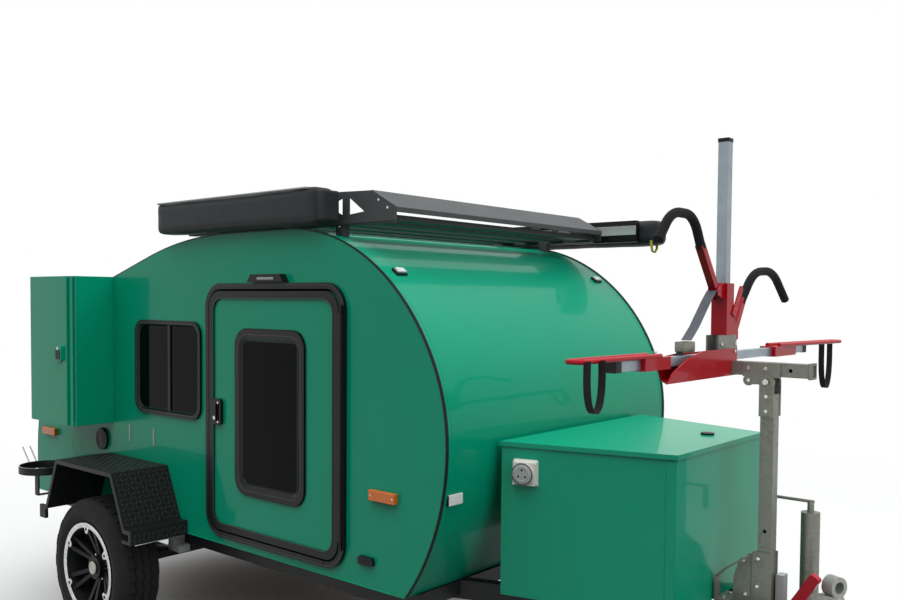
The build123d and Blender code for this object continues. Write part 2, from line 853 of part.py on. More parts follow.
def make_toolbox():
    box_top = chest_top_z - lid_t - lid_gap
    hinge_at_x = chest_rear_x - lid_hinge_off
    hinge_at_z = chest_top_z - lid_t - lid_hinge_drop
    box = along_z(chest_plan(0), sill_z, box_top)
    box -= along_z(chest_plan(-chest_t), sill_z + chest_t, box_top + seat)
    for y in (-lid_hinge_half - lid_lug, lid_hinge_half):
        box += rod((hinge_at_x, y, hinge_at_z), (hinge_at_x, y + lid_lug, hinge_at_z), lid_knuckle_r)
        box += block(hinge_at_x, chest_rear_x + seat, y, y + lid_lug, hinge_at_z - 2 * lid_knuckle_r,
                     hinge_at_z - lid_knuckle_r / 3)
    box += rod((hinge_at_x, -lid_hinge_half, hinge_at_z), (hinge_at_x, lid_hinge_half, hinge_at_z), hinge_pin_r)
    parts["toolbox_body"] = box
    lid_low = chest_top_z - lid_t
    lid = along_z(chest_plan(lid_over), lid_low, chest_top_z)
    skirt = along_z(chest_plan(lid_over) - chest_plan(lid_over - lid_skirt_t), chest_top_z - lid_lip, lid_low)
    skirt -= block(chest_rear_x - 20, chest_rear_x + 20, -chest_rear_half, chest_rear_half, 0, lid_low)
    cap = Pos(lid_cap_x, lid_cap_y, chest_top_z + lid_cap_t / 2) * Cylinder(lid_cap_r, lid_cap_t)
    y0 = -lid_hinge_half + face_gap
    y1 = lid_hinge_half - face_gap
    knuckle = rod((hinge_at_x, y0, hinge_at_z), (hinge_at_x, y1, hinge_at_z), lid_knuckle_r)
    knuckle += block(hinge_at_x, chest_rear_x - lid_knuckle_r, y0, y1, hinge_at_z, lid_low + seat)
    knuckle -= rod((hinge_at_x, y0 - seat, hinge_at_z), (hinge_at_x, y1 + seat, hinge_at_z), hinge_pin_r + pin_fit)
    parts["toolbox_lid"] = lid + skirt + cap + knuckle
    a = Vector(chest_rear_x, -chest_rear_half, 0)
    b = Vector(chest_front_x, -chest_front_half, 0)
    along = (b - a).normalized()
    corner = a + along * inlet_along + Vector(0, 0, chest_top_z - inlet_drop)
    face = Plane(corner, x_dir=along, z_dir=Vector(along.Y, -along.X, 0))
    low = face * RectangleRounded(inlet_w, inlet_w, inlet_bevel)
    high_w = inlet_w - 2 * inlet_bevel
    high = face.offset(inlet_t) * RectangleRounded(high_w, high_w, inlet_bevel)
    housing = loft([low, high])
    cover = extrude(face.offset(inlet_t) * Circle(inlet_cover_r), amount=inlet_cover_t)
    parts["power_inlet"] = housing + cover


def make_post():
    pw = post_w / 2
    post = block(post_x - pw, post_x + pw, -pw, pw, sill_z, post_top_z)
    inner = pw - post_wall
    post -= block(post_x - inner, post_x + inner, -inner, inner, sill_z - seat, post_top_z + seat)
    post -= rod((post_x, -post_w, pin_hole_z), (post_x, 0, pin_hole_z), pin_hole_r)
    outer_y = pw + 2 * plate_t
    spacer_y = pw + plate_t + plate_fit
    for sign in (-1, 1):
        cheek = Pos(post_x, (plate_low_z + pivot_z) / 2) * Rectangle(plate_w, pivot_z - plate_low_z)
        head = Pos(post_x, pivot_z) * Circle(plate_w / 2)
        post += along_y(cheek + head, *sorted((sign * spacer_y, sign * outer_y)))
        spacer = Pos(post_x, (plate_low_z + post_top_z - plate_t) / 2)
        spacer *= Rectangle(plate_w, post_top_z - plate_t - plate_low_z)
        post += along_y(spacer, *sorted((sign * pw, sign * spacer_y)))
    pin_y = outer_y + pivot_r
    post += rod((post_x, -pin_y, pivot_z), (post_x, pin_y, pivot_z), pivot_r)
    gusset = shape_of([
        (post_x - 54, sill_z), (post_x + gusset_x1, sill_z), (post_x + gusset_x1, sill_z + gusset_h),
        (post_x - 38, sill_z + gusset_h), (post_x - 54, sill_z + gusset_h - 24),
    ])
    wing = shape_of([
        (post_x - 112, sill_z), (post_x - 44, sill_z), (post_x - 44, sill_z + gusset_h - 18),
        (post_x - 84, sill_z + gusset_h - 34), (post_x - 107, sill_z + gusset_h / 2),
    ])
    for sign in (-1, 1):
        post += along_y(gusset, *sorted((sign * pw, sign * (pw + foot_plate_t))))
        post += along_y(wing, *sorted((sign * (pw + foot_plate_t), sign * (pw + 2 * foot_plate_t))))
    post += block(post_x + foot_x0, post_x + foot_x1, -foot_half, foot_half, sill_z, sill_z + foot_plate_t)
    hoop_y = -(pw + 2 * foot_plate_t + hoop_w)
    hoop_out = shape_of([
        (post_x - 44, sill_z + 196), (post_x - 86, sill_z + 166), (post_x - 139, sill_z + 127),
        (post_x - 169, sill_z + 96), (post_x - 170, sill_z), (post_x - 170 + hoop_t, sill_z),
        (post_x - 169 + hoop_t, sill_z + 93), (post_x - 135, sill_z + 121), (post_x - 82, sill_z + 160),
        (post_x - 41, sill_z + 190),
    ])
    post += along_y(hoop_out, hoop_y, -pw - foot_plate_t)
    plug_x = post_x + gusset_x1 + 2
    plug = block(plug_x, plug_x + plug_w, plug_y, plug_y + plug_span, sill_z + foot_plate_t, sill_z + plug_h)
    parts["rack_post"] = Compound(post.solids() + [plug])


def make_hitch_tube():
    tw = tube_w / 2
    tube = block(tube_rear_x, tube_front_x, -tw, tw, tube_z - tw, tube_z + tw)
    inner = tw - tube_wall
    tube -= block(tube_front_x - tube_bore_len, tube_front_x + seat, -inner, inner, tube_z - inner, tube_z + inner)
    tube -= rod((tube_front_x - 74, -tube_w, tube_z), (tube_front_x - 74, tube_w, tube_z), pin_hole_r)
    for sign in (-1, 1):
        cheek = Pos(post_x - head_set, tube_z - 2) * Rectangle(head_len, plate_w)
        ear = Pos(post_x, pivot_z) * Circle(plate_w / 2)
        lobe = Pos(post_x - head_len / 2, pivot_z + 2) * Circle(lobe_r)
        bridge = Pos(post_x - head_len / 4, pivot_z + 8) * Rectangle(head_len / 2, 2 * lobe_r)
        tube += along_y(cheek + ear + lobe + bridge, *sorted((sign * tw, sign * (tw + plate_t))))
    tube -= rod((post_x, -post_w, pivot_z), (post_x, post_w, pivot_z), pivot_r + pivot_fit)
    cheeks = []
    foot_z = channel_top_z - channel_rear_drop
    trapezoid = shape_of([
        (-cheek_half, foot_z), (cheek_half, foot_z), (cheek_half * 0.8, clamp_low_z), (-cheek_half, clamp_low_z),
    ])
    for x in (mast_x - mast_w / 2 - cheek_t, mast_x + mast_w / 2):
        cheeks.append(along_x(trapezoid, x, x + cheek_t))
    parts["carrier_hitch_tube"] = Compound([tube] + cheeks)


def make_carrier():
    bar_h = crossbar_w / 2
    bar = block(crossbar_x - bar_h, crossbar_x + bar_h, -crossbar_half, crossbar_half,
                crossbar_z - bar_h, crossbar_z + bar_h)
    front_wall = shape_of([
        (channel_near_y, channel_low_z), (channel_near_y + 45, channel_low_z + 36),
        (channel_near_y + 154, channel_top_z - 23), (channel_near_y + 269, channel_top_z),
        (channel_far_y, channel_top_z), (channel_far_y, channel_low_z),
    ])
    rear_wall = shape_of([
        (channel_near_y + 101, channel_low_z), (channel_near_y + 73, channel_low_z + 43),
        (channel_near_y + 118, channel_top_z - 15), (channel_near_y + 201, channel_top_z - channel_rear_drop),
        (channel_far_y + 40, channel_top_z - channel_rear_drop), (channel_far_y + 40, channel_low_z),
    ])
    shell = along_x(front_wall, channel_x1 - channel_t, channel_x1)
    shell += along_x(rear_wall, channel_x0, channel_x0 + channel_t)
    floor = shape_of([
        (channel_x0, channel_near_y + 101), (channel_x1, channel_near_y), (channel_x1, channel_far_y),
        (channel_x0, channel_far_y + 40),
    ])
    shell += along_z(floor, channel_low_z, channel_low_z + channel_t)
    shell += block(channel_x0, channel_x1, -saddle_half, channel_far_y - seat, channel_low_z, crossbar_z - bar_h)
    loops = [shell]
    # Wheel loops. Columns: side, sleeve inner and outer end, tip x, tip y
    for sign, sleeve_in, sleeve_out, tip_x, tip_y in ((-1, 500, 676, 660, 1030), (1, 430, 665, 735, 1090)):
        sleeve = block(crossbar_x - sleeve_w / 2, crossbar_x + sleeve_w / 2, sign * sleeve_in, sign * sleeve_out,
                       crossbar_z - sleeve_h / 2, crossbar_z + sleeve_h / 2)
        sleeve -= block(crossbar_x - bar_h, crossbar_x + bar_h, -crossbar_half, crossbar_half,
                        crossbar_z - bar_h, crossbar_z + bar_h)
        start_y = sign * (sleeve_in + 60)
        rod_z = crossbar_z + sleeve_h / 2 + loop_r / 2
        points = [(crossbar_x - loop_half, start_y, rod_z), (tip_x - loop_half, sign * tip_y, rod_z),
                  (tip_x + loop_half, sign * tip_y, rod_z), (crossbar_x + loop_half, start_y, rod_z)]
        loops.append(sleeve + bent_bar(points, loop_bend_r, Circle(loop_r)))
    parts["carrier_frame"] = Compound(loops)
    mw = mast_w / 2
    mast_low = crossbar_z + bar_h
    mast = block(mast_x - mw, mast_x + mw, -mw, mw, mast_low, mast_top_z)
    hollow = mw - mast_wall
    mast -= block(mast_x - hollow, mast_x + hollow, -hollow, hollow, mast_low + tube_w, mast_top_z + seat)
    parts["carrier_bars"] = Compound([bar, mast])


def make_hooks():
    mw = mast_w / 2
    cw = clamp_w / 2
    clamp = block(mast_x - cw, mast_x + cw, -cw, cw, clamp_low_z, clamp_high_z)
    clamp -= block(mast_x - mw, mast_x + mw, -mw, mw, 0, mast_top_z)
    # Hook arms in the mast's plane. Columns: name, side, pin y and z, lug outline, tube end, foam bends, radii
    near_lug = [(-cw, clamp_high_z), (-cw, clamp_high_z - 62), (-62, 1672), (-88, 1680), (-90, 1704), (-66, 1714)]
    far_lug = [(cw, clamp_low_z + 62), (cw, clamp_low_z), (70, 1503), (104, 1512), (104, 1540), (68, 1592)]
    arms = (
        ("hook_near", (-70, 1692), near_lug, (-205, 1862), [(-262, 1962), (-430, 1962), (-520, 1860)], (110, 140)),
        ("hook_far", (84, 1524), far_lug, (175, 1665), [(290, 1775), (490, 1785), (640, 1665)], (190, 200)),
    )
    half_tube = hook_tube_w / 2
    for name, (pin_y, pin_z), lug, tube_end, bends, radii in arms:
        for x0 in (mast_x - half_tube - lug_fit - lug_t, mast_x + half_tube + lug_fit):
            clamp += along_x(shape_of(lug), x0, x0 + lug_t)
        reach = half_tube + lug_fit + lug_t
        clamp += rod((mast_x - reach, pin_y, pin_z), (mast_x + reach, pin_y, pin_z), hook_pin_r)
        start = Vector(mast_x, pin_y, pin_z)
        end = Vector(mast_x, *tube_end)
        run = end - start
        plane = Plane(start, z_dir=run, x_dir=(1, 0, 0))
        tube = extrude(plane.offset(-half_tube) * Rectangle(hook_tube_w, hook_tube_w), amount=run.length + half_tube)
        points = [end - run.normalized() * hook_foam_r] + [(mast_x, y, z) for y, z in bends]
        foam = bent_bar(points, radii, Circle(hook_foam_r))
        bore = rod((mast_x - reach, pin_y, pin_z), (mast_x + reach, pin_y, pin_z), hook_pin_r + pin_fit)
        parts[name] = tube + foam - bore
    tongue = shape_of([(8, 1608), (36, 1596), (104, 1698), (100, 1714), (84, 1716), (74, 1708)])
    clamp += along_x(tongue, mast_x + cw, mast_x + cw + lug_t)
    parts["carrier_frame"] = Compound(parts["carrier_frame"].solids() + clamp.solids())


def leg_outer_y(x):
    """Outer face of the left drawbar leg."""
    run = (leg_front_x - x) / (leg_front_x - leg_rear_x)
    return leg_front_y + leg_w / 2 + run * (rail_y - leg_inset - leg_front_y)


def make_jack():
    tube = Pos(jack_x, jack_y, (jack_low_z + jack_top_z) / 2) * Cylinder(jack_r, jack_top_z - jack_low_z)
    bore_h = jack_top_z - jack_cap_t - jack_low_z
    tube -= Pos(jack_x, jack_y, jack_low_z + bore_h / 2) * Cylinder(jack_r - jack_wall, bore_h)
    crank_z = jack_top_z + jack_neck_h
    tube += Pos(jack_x, jack_y, jack_top_z + jack_neck_h / 2) * Cylinder(jack_neck_r, jack_neck_h)
    crank_end = jack_x - crank_len
    tube += rod((jack_x + jack_neck_r, jack_y, crank_z), (crank_end, jack_y, crank_z), crank_r)
    grip_x = crank_end + crank_grip_r
    tube += rod((grip_x, jack_y, crank_z), (grip_x, jack_y, crank_z - crank_grip_len), crank_grip_r)
    x0 = jack_x - clamp_pad
    x1 = jack_x + clamp_pad
    plan = shape_of([(x0, leg_outer_y(x0)), (x1, leg_outer_y(x1)), (x1, jack_y), (x0, jack_y)])
    pad = along_z(plan, rail_z0 + clamp_margin, sill_z - clamp_margin)
    pad -= Pos(jack_x, jack_y, rail_z0) * Cylinder(jack_r, jack_top_z)
    parts["jack_tube"] = tube + pad
    leg_r = jack_r - jack_wall - leg_slide_gap
    leg_low = 2 * jockey_r + fork_rise
    leg_high = jack_low_z + 260
    parts["jack_leg"] = Pos(jack_x, jack_y, (leg_low + leg_high) / 2) * Cylinder(leg_r, leg_high - leg_low)
    fork_top = leg_low - face_gap
    plate_z = fork_top - fork_plate_t
    wheel_x = jack_x - jockey_trail
    inner_y = jockey_w / 2 + fork_gap
    outer_y = inner_y + fork_t
    fork = Pos(jack_x, jack_y, fork_top - fork_plate_t / 2) * Cylinder(leg_r, fork_plate_t)
    fork += block(jack_x - leg_r, jack_x + leg_r, jack_y - outer_y, jack_y + outer_y, plate_z - fork_t, plate_z)
    cheek = shape_of([(jack_x + leg_r, plate_z), (jack_x - leg_r, plate_z), (wheel_x - 22, jockey_r - 14),
                      (wheel_x + 22, jockey_r - 14)])
    for sign in (-1, 1):
        fork += along_y(cheek, *sorted((jack_y + sign * inner_y, jack_y + sign * outer_y)))
    fork += rod((wheel_x, jack_y - outer_y, jockey_r), (wheel_x, jack_y + outer_y, jockey_r), jockey_hub_r)
    parts["jockey_fork"] = fork
    w = jockey_w / 2
    section = shape_of([
        (jockey_hub_r + pin_fit, -w), (jockey_r - jockey_round, -w), (jockey_r, -w + jockey_round),
        (jockey_r, w - jockey_round), (jockey_r - jockey_round, w), (jockey_hub_r + pin_fit, w),
    ])
    parts["jockey_wheel"] = Pos(wheel_x, jack_y, jockey_r) * revolve(Plane.XY * section, Axis.Y)


def make_coupling():
    base_z = sill_z + coupling_base_t
    body_z = sill_z + coupling_body_h
    head = block(leg_front_x - 70, leg_front_x + 50, -coupling_base_half, coupling_base_half, sill_z, base_z)
    side_view = shape_of([
        (leg_front_x - 40, base_z), (leg_front_x - 10, body_z), (ring_x - 24, ring_z - ring_r + 6),
        (ring_x + 20, ring_z - ring_r + 6), (coupling_front_x - 60, body_z - 12), (coupling_front_x - 60, rail_z0 + 22),
        (leg_front_x, rail_z0 + 22), (leg_front_x, base_z),
    ])
    head += along_y(side_view, -coupling_body_half, coupling_body_half)
    nose = Pos(coupling_front_x - coupling_nose_half, 0, (rail_z0 + body_z) / 2)
    head += nose * Cylinder(coupling_nose_half, body_z - rail_z0 - 20)
    eye = Pos(ring_x, 0, ring_z) * Rot(0, 0, ring_turn) * Rot(0, 90, 0)
    head += eye * Cylinder(ring_r, ring_len)
    head -= eye * Cylinder(ring_bore_r, 2 * ring_len)
    parts["coupling_head"] = head
    # The brake lever lies beside the coupling, pinned to a small ear on the drawbar's side
    a = math.radians(lever_angle)
    y0 = lever_y - lever_t / 2
    y1 = lever_y + lever_t / 2
    pivot_at_z = sill_z + coupling_base_t + lever_pivot_r
    bar = Pos(lever_pivot_x, pivot_at_z) * Rot(0, 0, lever_angle) * Pos(lever_len * 0.75, 0)
    grip = along_y(bar * RectangleRounded(lever_len, lever_w, lever_w / 4), y0, y1)
    arm_end = (lever_pivot_x + lever_len * 0.3 * math.cos(a), lever_y, pivot_at_z + lever_len * 0.3 * math.sin(a))
    arm = rod((lever_pivot_x, lever_y, pivot_at_z), arm_end, lever_pivot_r)
    ear = block(lever_pivot_x - lever_ear_half, lever_pivot_x + lever_ear_half, y0, y1,
                sill_z + coupling_base_t, pivot_at_z)
    parts["brake_lever"] = grip + arm + ear


def make_rack():
    rail_top = rack_top_z - 4
    rail_low = rail_top - rack_rail_h
    rack = block(rack_x0, rack_x1, -rack_half, -rack_half + rack_rail_w, rail_low, rail_top)
    rack += block(rack_x0, rack_x1, rack_half - rack_rail_w, rack_half, rail_low, rail_top)
    first_x = rack_x1 - slat_w / 2 - 6
    for k in range(slat_count):
        x = first_x - k * slat_pitch
        rack += block(x - slat_w / 2, x + slat_w / 2, -rack_half, rack_half, rack_top_z - slat_t, rack_top_z)
    for x in (foot_front_x, foot_rear_x):
        for sign in (-1, 1):
            y0 = sign * (rack_half - rack_rail_w)
            y1 = sign * (rack_half - 4)
            rack += block(x - foot_w / 2, x + foot_w / 2, y0, y1, roof_z - 2 * rack_rise, rack_top_z - slat_t)
    for x in (foot_front_x - 335, foot_rear_x - 100):
        y1 = half - awning_inset
        rack += block(x - 30, x + 30, rack_half, y1, rail_low, rail_top)
        y1 = half - bag_inset - face_gap
        rack += block(x - 30, x + 30, -y1, -rack_half, rail_low, rail_top)
    rack -= along_y(body_outline(0, sill_z), -half, half)
    parts["roof_rack"] = rack


def make_deflector():
    top_x = rack_x1 + deflector_reach - deflector_run
    top_z = rack_top_z + deflector_rise
    low_x = rack_x1 + deflector_reach
    low_z = top_z - deflector_fall
    lip_z = low_z - deflector_lip
    t = deflector_t
    edge_half = rack_half + t
    plate = shape_of([(low_x, lip_z), (low_x, low_z), (top_x, top_z), (top_x - t, top_z - t),
                      (low_x - t, low_z - t), (low_x - t, lip_z)])
    deflector = along_y(plate, -edge_half, edge_half)
    rear_x = low_x - deflector_plate_run
    rear_low = rack_top_z - rack_rail_h
    side_view = shape_of([(rear_x, rear_low), (low_x - t, rear_low + t), (low_x - t, low_z - t / 2),
                          (top_x, top_z - t / 2), (rear_x, top_z + 2 * t)])
    # Two triangular windows in each side plate
    span = top_x - rear_x
    mid_z = (rear_low + top_z) / 2
    holes = shape_of([(rear_x + 0.16 * span, mid_z + 12), (rear_x + 0.44 * span, top_z - 24),
                      (rear_x + 0.44 * span, mid_z - 26)])
    holes += shape_of([(rear_x + 0.58 * span, top_z - 24), (rear_x + 0.58 * span, mid_z - 26),
                       (rear_x + 0.86 * span, mid_z - 18)])
    for sign in (-1, 1):
        deflector += along_y(side_view - holes, *sorted((sign * rack_half, sign * edge_half)))
    parts["wind_deflector"] = deflector


def make_awnings():
    outer = -(half - bag_inset) - bag_depth
    inner = -(half - bag_inset)
    bag = along_y(rounded((bag_x0 + bag_x1) / 2, bag_z0 + bag_h / 2, bag_x1 - bag_x0, bag_h, bag_corner_r),
                  outer, inner)
    end_view = Plane(Vector(bag_x1 - bag_corner_r, (outer + inner) / 2, bag_z0 + bag_h / 2), z_dir=(1, 0, 0))
    flat_end = end_view * RectangleRounded(bag_depth - 4, bag_h - 4, bag_corner_r)
    tip = end_view.offset(bag_end_len + bag_corner_r) * RectangleRounded(bag_depth / 2, bag_h * 0.7, bag_corner_r / 2)
    parts["awning_bag_right"] = bag + loft([flat_end, tip])
    y0 = half - awning_inset
    y1 = half + awning_wall_gap
    y2 = y1 + awning_depth
    rail_z = awning_low_z + awning_h - awning_rail_h / 2 - awning_rail_drop
    rail = block(awning_x0, awning_rail_x1, y0, y1, rail_z - awning_rail_h / 2, rail_z + awning_rail_h / 2)
    roll = rounded((awning_x0 + awning_rail_x1) / 2, awning_low_z + awning_h / 2, awning_rail_x1 - awning_x0,
                   awning_h, awning_corner_r)
    left = along_y(roll, y1, y2)
    mouth = Plane(Vector(awning_rail_x1 - awning_corner_r, (y1 + y2) / 2, awning_low_z + awning_h / 2), z_dir=(1, 0, 0))
    wide = mouth * RectangleRounded(awning_depth - 4, awning_h - 4, awning_corner_r)
    reach = awning_x1 - awning_rail_x1 + awning_corner_r
    narrow = mouth.offset(reach) * RectangleRounded(awning_depth * 0.6, awning_h * 0.6, awning_corner_r)
    parts["awning_left"] = left + rail + loft([wide, narrow])


def make_lamps():
    bases = []
    clear = []
    amber = []
    tails = []
    crown_x, crown_z, crown_r = crown_circle()
    a = math.radians(lamp_angle)
    out = Vector(math.cos(a), 0, math.sin(a))
    lamp_at = Vector(crown_x, -lamp_y, crown_z) + out * crown_r
    body = along_y(body_outline(0, sill_z), -half, half)
    nose_lamp_z = nose_z - nose_lamp_drop
    nose_lamp_x = nose_surface_x(nose_lamp_z)
    porch_x = door_front_x - porch_behind_door
    porch_z = door_high_z + porch_rise
    y = -half
    for side in ("right", "left"):
        porch = shape_of([(porch_x - porch_w / 2, porch_z - porch_h / 2), (porch_x + porch_w / 2, porch_z - porch_h / 2),
                          (porch_x + porch_w / 2 - 22, porch_z + porch_h / 2),
                          (porch_x - porch_w / 2 + 22, porch_z + porch_h / 2)])
        bases.append(on_side(along_y(porch, y - porch_t, y), side))
        disc = along_y(Pos(vent_x, vent_z) * Circle(vent_r), y - vent_t, y)
        bases.append(on_side(disc, side))
        water = along_y(rounded(water_x, water_z, water_w, 34, 12), y - water_t, y)
        bases.append(on_side(water, side))
        for k in (0, 1):
            strip = block_at(strip_rear_x + k * strip_pitch, y - strip_t / 2, strip_z, strip_w, strip_t, strip_h)
            bases.append(on_side(strip, side))
        amber.append(on_side(block_at(marker_x, y - marker_t / 2, marker_z, marker_w, marker_t, marker_h), side))
        rear_marker_x = -body_length + rear_marker_inset
        amber.append(on_side(block_at(rear_marker_x, y - marker_t / 2, rear_marker_z, rear_marker_w, marker_t,
                                      marker_h), side))
        base = Plane(lamp_at, z_dir=out) * Box(lamp_len, lamp_w, 2 * lamp_base_t)
        bases.append(on_side(base - body, side))
        dome = Plane(lamp_at + out * (lamp_base_t + lamp_dome_t / 2), z_dir=out)
        clear.append(on_side(dome * Box(lamp_len - 12, lamp_w - 14, lamp_dome_t), side))
        low = block_at(nose_lamp_x, -nose_lamp_y, nose_lamp_z, 2 * nose_lamp_t, nose_lamp_w, nose_lamp_h)
        clear.append(on_side(low - body, side))
        tail = block_at(-body_length - tail_lamp_t / 2, -tail_lamp_y, tail_lamp_z, tail_lamp_t, tail_lamp_w, tail_lamp_h)
        tails.append(on_side(tail, side))
    sign_plate = block_at(-body_length - sign_plate_t / 2, 0, sill_z + sign_plate_h / 2 - seat, sign_plate_t,
                          sign_plate_w, sign_plate_h - hatch_gap - 20)
    parts["wall_fittings"] = Compound(bases + [sign_plate])
    parts["lamps"] = Compound(clear + amber + tails)


def make_gas_ring():
    ring_x_at = -body_length + gas_from_rear
    ring_y = -half - gas_inboard - gas_r
    ring = Pos(ring_x_at, ring_y, gas_z) * (Cylinder(gas_r, gas_h) - Cylinder(gas_r - gas_t, 2 * gas_h))
    leg_w = gas_leg_w / 2
    low_z = gas_z - gas_h / 2
    foot_z = low_z - gas_leg_h
    leg_x = ring_x_at - gas_leg_back
    chord = math.sqrt(gas_r ** 2 - gas_leg_back ** 2)
    ring += block(leg_x - leg_w, leg_x + leg_w, ring_y - gas_t, ring_y + gas_t, foot_z, low_z)
    ring += block(leg_x - leg_w, leg_x + leg_w, ring_y - gas_t, -half, foot_z - gas_t, foot_z)
    ring += block(leg_x - leg_w, leg_x + leg_w, ring_y - chord, ring_y + chord, low_z - gas_t, low_z)
    ring += block(ring_x_at - leg_w / 2, ring_x_at + leg_w / 2, ring_y + gas_r - gas_t, -half, gas_z - 10, gas_z + 10)
    # Two thin hook rods that hold the bottle stand up from the ring's rear rim
    hook_x = ring_x_at - gas_r + gas_t / 2
    for y in (ring_y - gas_leg_w / 2, ring_y + gas_leg_w / 2):
        ring += rod((hook_x, y, gas_z), (hook_x - gas_hook_len, y, gas_z + gas_hook_len), gas_hook_r)
    parts["gas_bottle_ring"] = ring


def main():
    make_walls()
    make_shell()
    make_interior()
    make_trims()
    make_doors()
    make_chassis()
    make_axle()
    make_wheels()
    make_mudguards()
    make_flank_boxes()
    make_toolbox()
    make_post()
    make_hitch_tube()
    make_carrier()
    make_hooks()
    make_jack()
    make_coupling()
    make_rack()
    make_deflector()
    make_awnings()
    make_lamps()
    make_gas_ring()
    os.makedirs("parts", exist_ok=True)
    for name, shape in parts.items():
        solids = [Pos(nose_x, 0, 0) * solid for solid in shape.solids()]
        export_step(solids[0] if len(solids) == 1 else Compound(solids), "parts/" + name + ".step")
        print(name, len(solids), [round(v) for v in shape.bounding_box().size])


main()
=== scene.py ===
# %% [markdown]
# # An off-road teardrop trailer
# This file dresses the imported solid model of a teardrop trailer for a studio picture. The solids
# already have the right sizes and places, so each step here takes one of the trailer's pieces,
# rounds its edges, gives it a real finish and adds the small things that a solid model leaves out.
# X runs forward to the coupling, Y to the trailer's left, Z up. Lengths are in metres, unless a
# comment or a name says millimetres.

# %% Load the frame
import json
import math

import bpy
from mathutils import Matrix, Vector

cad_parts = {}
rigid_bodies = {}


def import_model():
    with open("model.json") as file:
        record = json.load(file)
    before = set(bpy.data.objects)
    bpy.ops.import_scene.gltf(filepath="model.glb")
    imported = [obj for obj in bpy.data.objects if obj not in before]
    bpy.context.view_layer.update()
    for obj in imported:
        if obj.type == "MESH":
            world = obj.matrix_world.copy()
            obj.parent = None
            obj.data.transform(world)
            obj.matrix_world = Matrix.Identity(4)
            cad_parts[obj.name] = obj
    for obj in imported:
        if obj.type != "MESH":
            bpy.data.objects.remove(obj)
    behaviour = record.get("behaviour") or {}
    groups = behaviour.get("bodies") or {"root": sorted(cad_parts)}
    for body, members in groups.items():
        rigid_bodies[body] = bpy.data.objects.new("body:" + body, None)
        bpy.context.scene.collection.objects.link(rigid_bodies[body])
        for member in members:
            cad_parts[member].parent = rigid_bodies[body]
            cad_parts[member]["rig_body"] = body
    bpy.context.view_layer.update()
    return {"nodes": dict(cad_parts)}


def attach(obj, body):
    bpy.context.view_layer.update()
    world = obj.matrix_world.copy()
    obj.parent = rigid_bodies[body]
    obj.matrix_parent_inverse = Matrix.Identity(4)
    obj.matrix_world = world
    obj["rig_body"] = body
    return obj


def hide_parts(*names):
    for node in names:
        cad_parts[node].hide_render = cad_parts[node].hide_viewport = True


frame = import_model()

# %% [markdown]
# ## The camera
# The view was worked out from the photograph: straight edges gave the direction, the wheel gave the
# distance. The picture is cropped below its true middle, so the lens is shifted a little. A matrix
# built from yaw, pitch and roll is clearer than Euler angles here.

# %% Camera
camera_place = Vector((3.0867, -3.2704, 1.6551))
camera_yaw = math.radians(40.448)
camera_pitch = math.radians(-2.2127)
camera_roll = math.radians(0.4236)
focal_px = 903.83
frame_px = (900, 600)
horizon_px = 334.5

camera_data = bpy.data.cameras.new("photo_camera")
camera_data.sensor_width = 36
camera_data.lens = focal_px / frame_px[0] * camera_data.sensor_width
camera_data.shift_y = (horizon_px - frame_px[1] / 2) / frame_px[0]
camera = bpy.data.objects.new("photo_camera", camera_data)
bpy.context.scene.collection.objects.link(camera)
turn = Matrix.Rotation(camera_yaw, 4, "Z") @ Matrix.Rotation(math.pi / 2 + camera_pitch, 4, "X")
camera.matrix_world = Matrix.Translation(camera_place) @ turn @ Matrix.Rotation(camera_roll, 4, "Z")
bpy.context.scene.camera = camera
print("lens", round(camera_data.lens, 2), "mm")

# %% [markdown]
# ## A material helper
# Every finish below is a Principled shader with a few texture nodes in front of it. One function adds
# a node, sets its values and links it, and another turns the hex colours of a paint chart into the
# linear light that the renderer adds up.


# %% Colour and node helpers
def hex_colour(code):
    """sRGB hex to linear RGBA."""
    parts = [int(code[i:i + 2], 16) / 255 for i in (1, 3, 5)]
    light = [c / 12.92 if c <= 0.04045 else ((c + 0.055) / 1.055) ** 2.4 for c in parts]
    return (*light, 1)


def add_node(material, kind, settings=None, **inputs):
    """Adds a node. Inputs take a value, or a (node, output name) pair to link from."""
    tree = material.node_tree
    made = tree.nodes.new("ShaderNode" + kind)
    for name, value in (settings or {}).items():
        setattr(made, name, value)
    for name, value in inputs.items():
        by_number = name[1:].isdigit()
        socket = made.inputs[int(name[1:]) if by_number else name.replace("_", " ")]
        if isinstance(value, tuple) and hasattr(value[0], "outputs"):
            tree.links.new(value[0].outputs[value[1]], socket)
        else:
            socket.default_value = value
    return made


def new_material(name, **values):
    """A Principled material. Returns it with its shader node."""
    material = bpy.data.materials.new(name)
    material.use_nodes = True
    shader = material.node_tree.nodes["Principled BSDF"]
    for key, value in values.items():
        shader.inputs[key.replace("_", " ")].default_value = value
    return material, shader


def feed(material, node, output, target, socket):
    material.node_tree.links.new(node.outputs[output], target.inputs[socket])


def millimetres(size):
    """Texture scale that gives a pattern with a period of about this size."""
    return 1000 / size


# %% [markdown]
# ## Automotive paint on aluminium sheet
# The body is sprayed in a deep emerald gloss enamel with a clear coat. The clear coat gives crisp
# reflections over softer ones from the pigment. A broad, very shallow noise makes the sheet's
# slight waviness, and a fine one the orange peel of the sprayed lacquer.

